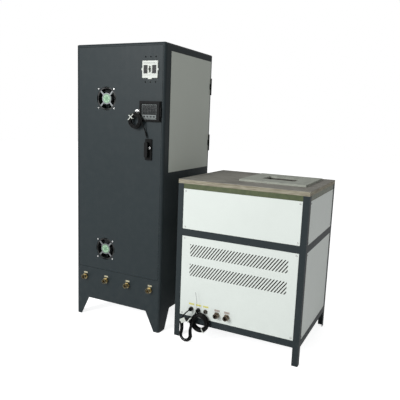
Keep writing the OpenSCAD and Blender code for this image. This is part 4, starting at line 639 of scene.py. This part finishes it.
def turned(bm, at, profile, steps=32):
    "A profile of (radius, y) spun round the line along Y through (x, z)."
    points = [bm.verts.new(place(at[0] + r, y, at[1])) for r, y in profile]
    edges = [bm.edges.new(pair) for pair in zip(points, points[1:])]
    bmesh.ops.spin(bm, geom=points + edges, cent=place(at[0], 0, at[1]), axis=(0, 1, 0),
                   angle=2 * math.pi, steps=steps, use_merge=True)
    bmesh.ops.remove_doubles(bm, verts=bm.verts, dist=WELD_M)

# %% [markdown]
# Under each fitting's rim sits the black rubber cone that seals the hose. It is what makes the
# mouths look dark from the front.

# %% Rubber seals in the water fittings
CABINET_FITTINGS = [(68 + 152 * i, 245, -26.0) for i in range(4)]
TABLE_FITTINGS = [(x, 174, 7.0) for x in (930, 987)]
rubber_and_port_shade = moulded("seal_rubber_and_port_shade", (6, 6, 7), 0.6, gloss=0.08)
seals = bmesh.new()
for x, z, tip in CABINET_FITTINGS + TABLE_FITTINGS:
    turned(seals, (x, z), [(7.7, tip + 6), (7.7, tip + 0.6), (8.6, tip - 0.35), (12.3, tip - 0.35),
                           (12.8, tip + 0.2)])
keep(seals, "fitting_seals", "stand", rubber_and_port_shade, smooth=True)

# %% [markdown]
# The breaker's nose shows two dark windows with terminals and setting marks behind them, and a
# raised white collar round the toggle. The marks are plain bars: nothing is written on them.

# %% Breaker details
BREAKER, NOSE_Y = (499.0, 1459.0), -8.0
WINDOW_OFF, WINDOW_HALF, WINDOW_HALF_H = 27, 12.8, 21.8
MARK_OFF, MARK_ROWS, MARK_FIRST, MARK_PITCH, MARK_H = 6.0, 5, -18, 7.6, 3.2
LONG_MARK, SHORT_MARK = 3.4, 2.2
window_mat = moulded("window_black", (9, 10, 11), 0.25, gloss=0.15)
mark_mat = moulded("window_marks", (78, 82, 80), 0.5, gloss=0.1)
panes = bmesh.new()
for way in (-1, 1):
    x = BREAKER[0] + way * WINDOW_OFF
    block(panes, (x - WINDOW_HALF, NOSE_Y - 0.1, BREAKER[1] - WINDOW_HALF_H),
          (x + WINDOW_HALF, NOSE_Y + 0.75, BREAKER[1] + WINDOW_HALF_H), 0.3)
keep(panes, "breaker_panes", "stand", window_mat)
marks = bmesh.new()
for way in (-1, 1):
    for column in (-1, 1):
        x = BREAKER[0] + way * WINDOW_OFF + column * MARK_OFF
        for row in range(MARK_ROWS):
            low = BREAKER[1] + MARK_FIRST + row * MARK_PITCH
            wide = LONG_MARK if (row + column) % 2 else SHORT_MARK
            block(marks, (x - wide, NOSE_Y - 0.5, low), (x + wide, NOSE_Y, low + MARK_H), 0.2)
keep(marks, "breaker_marks", "stand", mark_mat)

# %% [markdown]
# The collar is a moulded rim round the toggle's slot. A block with four rounded corners gives its
# outline; its front and back faces are then inset, joined by a wall and deleted, which opens the
# middle. Three thin printed rules cross the nose, two above the windows and one below.

# %% Breaker collar and rules
COLLAR_HALF, COLLAR_HALF_H, COLLAR_ROUND, COLLAR_WALL = 10, 25, 9, 4.2
RULE_HALF, RULE_H, RULES_UP = 41, 0.9, (34.0, 30.0, -30.0)
collar = bmesh.new()
block(collar, (BREAKER[0] - COLLAR_HALF, NOSE_Y - 1.4, BREAKER[1] - COLLAR_HALF_H),
      (BREAKER[0] + COLLAR_HALF, NOSE_Y + 0.2, BREAKER[1] + COLLAR_HALF_H))
corners = [e for e in collar.edges if abs(e.verts[0].co.y - e.verts[1].co.y) > MM]
round_off(collar, corners, COLLAR_ROUND, 6)
ends = large_faces(collar)
bmesh.ops.inset_individual(collar, faces=ends, thickness=COLLAR_WALL * MM)
bmesh.ops.bridge_loops(collar, edges=list({e for f in ends for e in f.edges}))
bmesh.ops.delete(collar, geom=ends, context="FACES_ONLY")
keep(collar, "breaker_collar", "stand", white_plastic)
rules = bmesh.new()
for up in RULES_UP:
    block(rules, (BREAKER[0] - RULE_HALF, NOSE_Y - 0.25, BREAKER[1] + up),
          (BREAKER[0] + RULE_HALF, NOSE_Y + 0.1, BREAKER[1] + up + RULE_H))
keep(rules, "breaker_rules", "stand", mark_mat)

# %% [markdown]
# Six round ports above and below the nose give a screwdriver its way in. A small black cup
# sits in each as painted shade, so that the port looks dark and deep.

# %% Painted shade in the ports
PORTS_ACROSS, PORTS_UP = (-32, 0, 32), (-65, 65)
PORT_SHADE_CUP, PORT_SHADE_CUP_STEPS = [(0.3, 1.7), (2.4, 1.5), (3.7, 0.2)], 20
port_shade_cups = bmesh.new()
for across in PORTS_ACROSS:
    for up in PORTS_UP:
        turned(port_shade_cups, (BREAKER[0] + across, BREAKER[1] + up), PORT_SHADE_CUP, PORT_SHADE_CUP_STEPS)
# The black cups are painted shade for the depth of the ports.
keep(port_shade_cups, "painted_port_shade", "stand", rubber_and_port_shade, smooth=True)

# %% [markdown]
# The meter is switched off. Its window is a dark glossy pane, and close up the unlit bars of two
# rows of digits can just be made out behind it.

# %% Meter window
pane_mat = Finish("meter_glass", Specular_IOR_Level=0.6)
smear = pane_mat.noise(pane_mat.place(), 70.0, 4.0, 0.6)
pane_mat.feed(Base_Color=pane_mat.mix(smear, tone(16, 20, 21), tone(30, 35, 36)),
              Roughness=0.06 + 0.14 * smear)
PANE_Y, PANE_HALF, WINDOW_TOP, PANE_LOW, PANE_HIGH = -5.0, 42.8, 36, 47.8, 0.2
pane = bmesh.new()
block(pane, (METER[0] - PANE_HALF, PANE_Y - 0.8, METER[1] + WINDOW_TOP - PANE_LOW),
      (METER[0] + PANE_HALF, PANE_Y, METER[1] + WINDOW_TOP - PANE_HIGH), 0.3)
keep(pane, "meter_pane", "front_door", pane_mat)

# %% [markdown]
# A digit is seven bars: three that lie and four that stand. Each bar is placed in shares of half
# the digit's width, so one list draws both rows, the upper one a little larger.

# %% Meter digits
unlit = moulded("unlit_segments", (27, 31, 32), 0.4)
LYING, STANDING = ((0, 1), (0, 0), (0, -1)), ((-1, 0.5), (1, 0.5), (-1, -0.5), (1, -0.5))
DIGITS, DIGIT_FIRST, DIGIT_PITCH, BAR = 4, -24, 16, 0.7
ROWS = ((25.0, 4.6), (8.0, 3.6))
digits = bmesh.new()
for row_up, half in ROWS:
    for k in range(DIGITS):
        for dx, dz in LYING + STANDING:
            cx = METER[0] + DIGIT_FIRST + k * DIGIT_PITCH + dx * half * 0.8
            cz = METER[1] + row_up + dz * half * 1.5
            w, h = (half * 0.62, BAR) if (dx, dz) in LYING else (BAR, half * 0.6)
            block(digits, (cx - w, PANE_Y - 0.95, cz - h), (cx + w, PANE_Y - 0.8, cz + h))
keep(digits, "meter_digits", "front_door", unlit)

# %% [markdown]
# The elbow plug of the sensor cord has a knurled metal nut, and each of the two plugs on the table
# has a black one. A knurl is too fine to model: the ring is turned, and its bump has the ridges.

# %% Plug nuts
knurl = Finish("knurled_nut", Metallic=1.0)
ridge = knurl.node("ShaderNodeTexWave", {"wave_type": "BANDS", "bands_direction": "DIAGONAL"},
                   {"Vector": knurl.place(), "Scale": 420.0})
dull = knurl.noise(knurl.place(), 120.0, 3.0)
knurl.feed(Base_Color=knurl.mix(dull, tone(198, 199, 198), tone(150, 151, 150)),
           Roughness=0.22 + 0.2 * dull, Normal=knurl.bump(ridge, 0.0002))

FRONT_NUT, TABLE_NUT = (421, 1233, -4.2, -13.2, 9.9), (23.8, 15.4, 10.3)

def nut(bm, x, z, y_back, y_front, r):
    "A ring between two depths, with eased edges and its bore closed to the plug's waist."
    turned(bm, (x, z), [(r - 3.0, y_back), (r - 0.4, y_back), (r, y_back - 0.6), (r, y_front + 0.8),
                        (r - 0.9, y_front), (r - 3.4, y_front), (r - 3.6, y_front + 1.0)])

front_nut = bmesh.new()
nut(front_nut, *FRONT_NUT)
keep(front_nut, "sensor_plug_nut", "front_door", knurl, smooth=True)
table_nuts = bmesh.new()
for x in (HANK_PLUG_X, SIGNAL_PLUG_X):
    nut(table_nuts, x, SOCKET_Z, *TABLE_NUT)
keep(table_nuts, "table_plug_nuts", "stand", black_plastic, smooth=True)

# %% [markdown]
# Behind the louvres hangs a thin dark brown sheet. It is painted shade for the dark inside of the
# table, so that the slots look dark and nothing of the tank circuit shows. Its edge is inset and sunk.

# %% Painted shade behind the louvres
louvre_shade = Finish("louvre_shade_sheet", Specular_IOR_Level=0.1)
shade_sheet_noise = louvre_shade.noise(louvre_shade.place(scale=(1, 1, 2.5)), 260.0, 6.0, 0.75)
# The sheet's dark brown is painted shade for the inside behind the louvres.
louvre_shade.feed(Base_Color=louvre_shade.mix(shade_sheet_noise.ramp(0.35, 0.7), tone(30, 24, 21), tone(66, 54, 46)),
          Roughness=0.85 + 0.1 * (shade_sheet_noise - 0.5), Normal=louvre_shade.bump(shade_sheet_noise, 0.0008))
SHADE_SHEET_LOW, SHADE_SHEET_HIGH, SHADE_SHEET_EDGE, SHADE_SHEET_SUNK = (748, 37.5, 350), (1306, 39.0, 555), 6, 0.5
shade_sheet = bmesh.new()
block(shade_sheet, SHADE_SHEET_LOW, SHADE_SHEET_HIGH)
bmesh.ops.inset_individual(shade_sheet, faces=large_faces(shade_sheet), thickness=SHADE_SHEET_EDGE * MM, depth=-SHADE_SHEET_SUNK * MM)
keep(shade_sheet, "louvre_shade_sheet", "stand", louvre_shade)

# %% [markdown]
# A nylon tie holds the second plug, and its tail was never cut: it stands up in front of the
# panel in a shallow bow. One spin of a small rectangle about a far centre gives that bow.

# %% Tie tail
TAIL_Z, TAIL_SECTION = 186, ((818.2, 12.4), (819.6, 12.4), (819.6, 13.2), (818.2, 13.2))
BOW_R, BOW_ANGLE, BOW_STEPS = 420, math.radians(13.5), 14
nylon = moulded("nylon_tie", (96, 98, 100), 0.45)
tail = bmesh.new()
section = tail.faces.new([tail.verts.new(place(x, y, TAIL_Z)) for x, y in TAIL_SECTION])
bmesh.ops.spin(tail, geom=[section], cent=place(SIGNAL_PLUG_X - BOW_R, 12, TAIL_Z), axis=(0, -1, 0),
               angle=BOW_ANGLE, steps=BOW_STEPS, use_duplicate=False)
keep(tail, "tie_tail", "stand", nylon)

# %% [markdown]
# The floor and the backdrop are plain. The photograph stands on pure white, but the object must
# not be lit harder for that, so the floor adds some white of its own where the camera sees it,
# less of it in reflections, and still takes the shadows. The world is pure white only where the
# camera sees it, straight or through something clear.

# %% Floor and world
FLOOR_HALF_M, GLOW, GLOW_IN_MIRRORS, FILL = 14.0, 0.78, 0.3, 0.40
bm = bmesh.new()
bmesh.ops.create_grid(bm, x_segments=1, y_segments=1, size=FLOOR_HALF_M)
mesh = bpy.data.meshes.new("studio_floor")
bm.to_mesh(mesh)
bm.free()
floor = bpy.data.objects.new("studio_floor", mesh)
bpy.context.scene.collection.objects.link(floor)
paper = Finish("studio_paper", Specular_IOR_Level=0.0, Roughness=1.0)
paper.shader.inputs["Base Color"].default_value = (0.80, 0.80, 0.80, 1.0)
seen = paper.node("ShaderNodeLightPath", output="Is Camera Ray")
mirrored = seen.beside("Is Glossy Ray")
strength = GLOW * (seen + GLOW_IN_MIRRORS * mirrored).clamped()
glow = paper.node("ShaderNodeEmission", {}, {"Color": (1, 1, 1, 1), "Strength": strength})
both = paper.node("ShaderNodeAddShader", {}, {0: Signal(paper, paper.shader.outputs[0]), 1: glow})
paper.plug(paper.out.inputs["Surface"], both)
dress(paper, floor)

world = bpy.data.worlds.new("studio_world")
bpy.context.scene.world = world
world.use_nodes = True
sky, fill = world.node_tree, world.node_tree.nodes["Background"]
fill.inputs["Color"].default_value = (1.0, 1.0, 1.0, 1.0)
path = sky.nodes.new("ShaderNodeLightPath")
plain = sky.nodes.new("ShaderNodeMath")
plain.operation = "MAXIMUM"
sky.links.new(path.outputs["Is Camera Ray"], plain.inputs[0])
sky.links.new(path.outputs["Is Transmission Ray"], plain.inputs[1])
level_node = sky.nodes.new("ShaderNodeMapRange")
level_node.inputs["To Min"].default_value = FILL
level_node.inputs["To Max"].default_value = 1.0
sky.links.new(plain.outputs[0], level_node.inputs["Value"])
sky.links.new(level_node.outputs["Result"], fill.inputs["Strength"])
print("floor", 2 * FLOOR_HALF_M, "m wide, world at", FILL)

# %% [markdown]
# One broad lamp stands high on the left in front, as a softbox would, and gives the fronts their
# brightness and the right-hand sides their shade. The world fills the rest. Its places are in
# metres, as the scene's are.

# %% Key lamp
KEY_AT, KEY_TOWARDS = Vector((-1.9, -4.4, 2.7)), Vector((0.1, 0.0, 0.6))
KEY_SIZE, KEY_WATTS = 2.4, 185.0
softbox = bpy.data.lights.new("key_softbox", "AREA")
softbox.shape, softbox.size, softbox.energy = "SQUARE", KEY_SIZE, KEY_WATTS
key = bpy.data.objects.new("key_softbox", softbox)
key.location = KEY_AT
key.rotation_euler = (KEY_TOWARDS - KEY_AT).to_track_quat("-Z", "Y").to_euler()
bpy.context.scene.collection.objects.link(key)
bpy.context.scene.view_settings.view_transform = "Standard"
print("key lamp", KEY_WATTS, "W,", round((KEY_TOWARDS - KEY_AT).length, 2), "m away")

# %% [markdown]
# Last, the length and the thickness of each of the three cords are worked out once more,
# and nothing is done with them.

for cord, route, thick, end, ends in ((sensor_cord, sensor_route, SENSOR_D, "plug", ["cabinet_plug"]),
                                      (signal_cord, signal_route, SIGNAL_D, "plug", ["table_plugs"]),
                                      (hank_cord, hank_route, HANK_D, "plug", ["table_plugs"])):
    run_length(route) * MM
    thick * MM
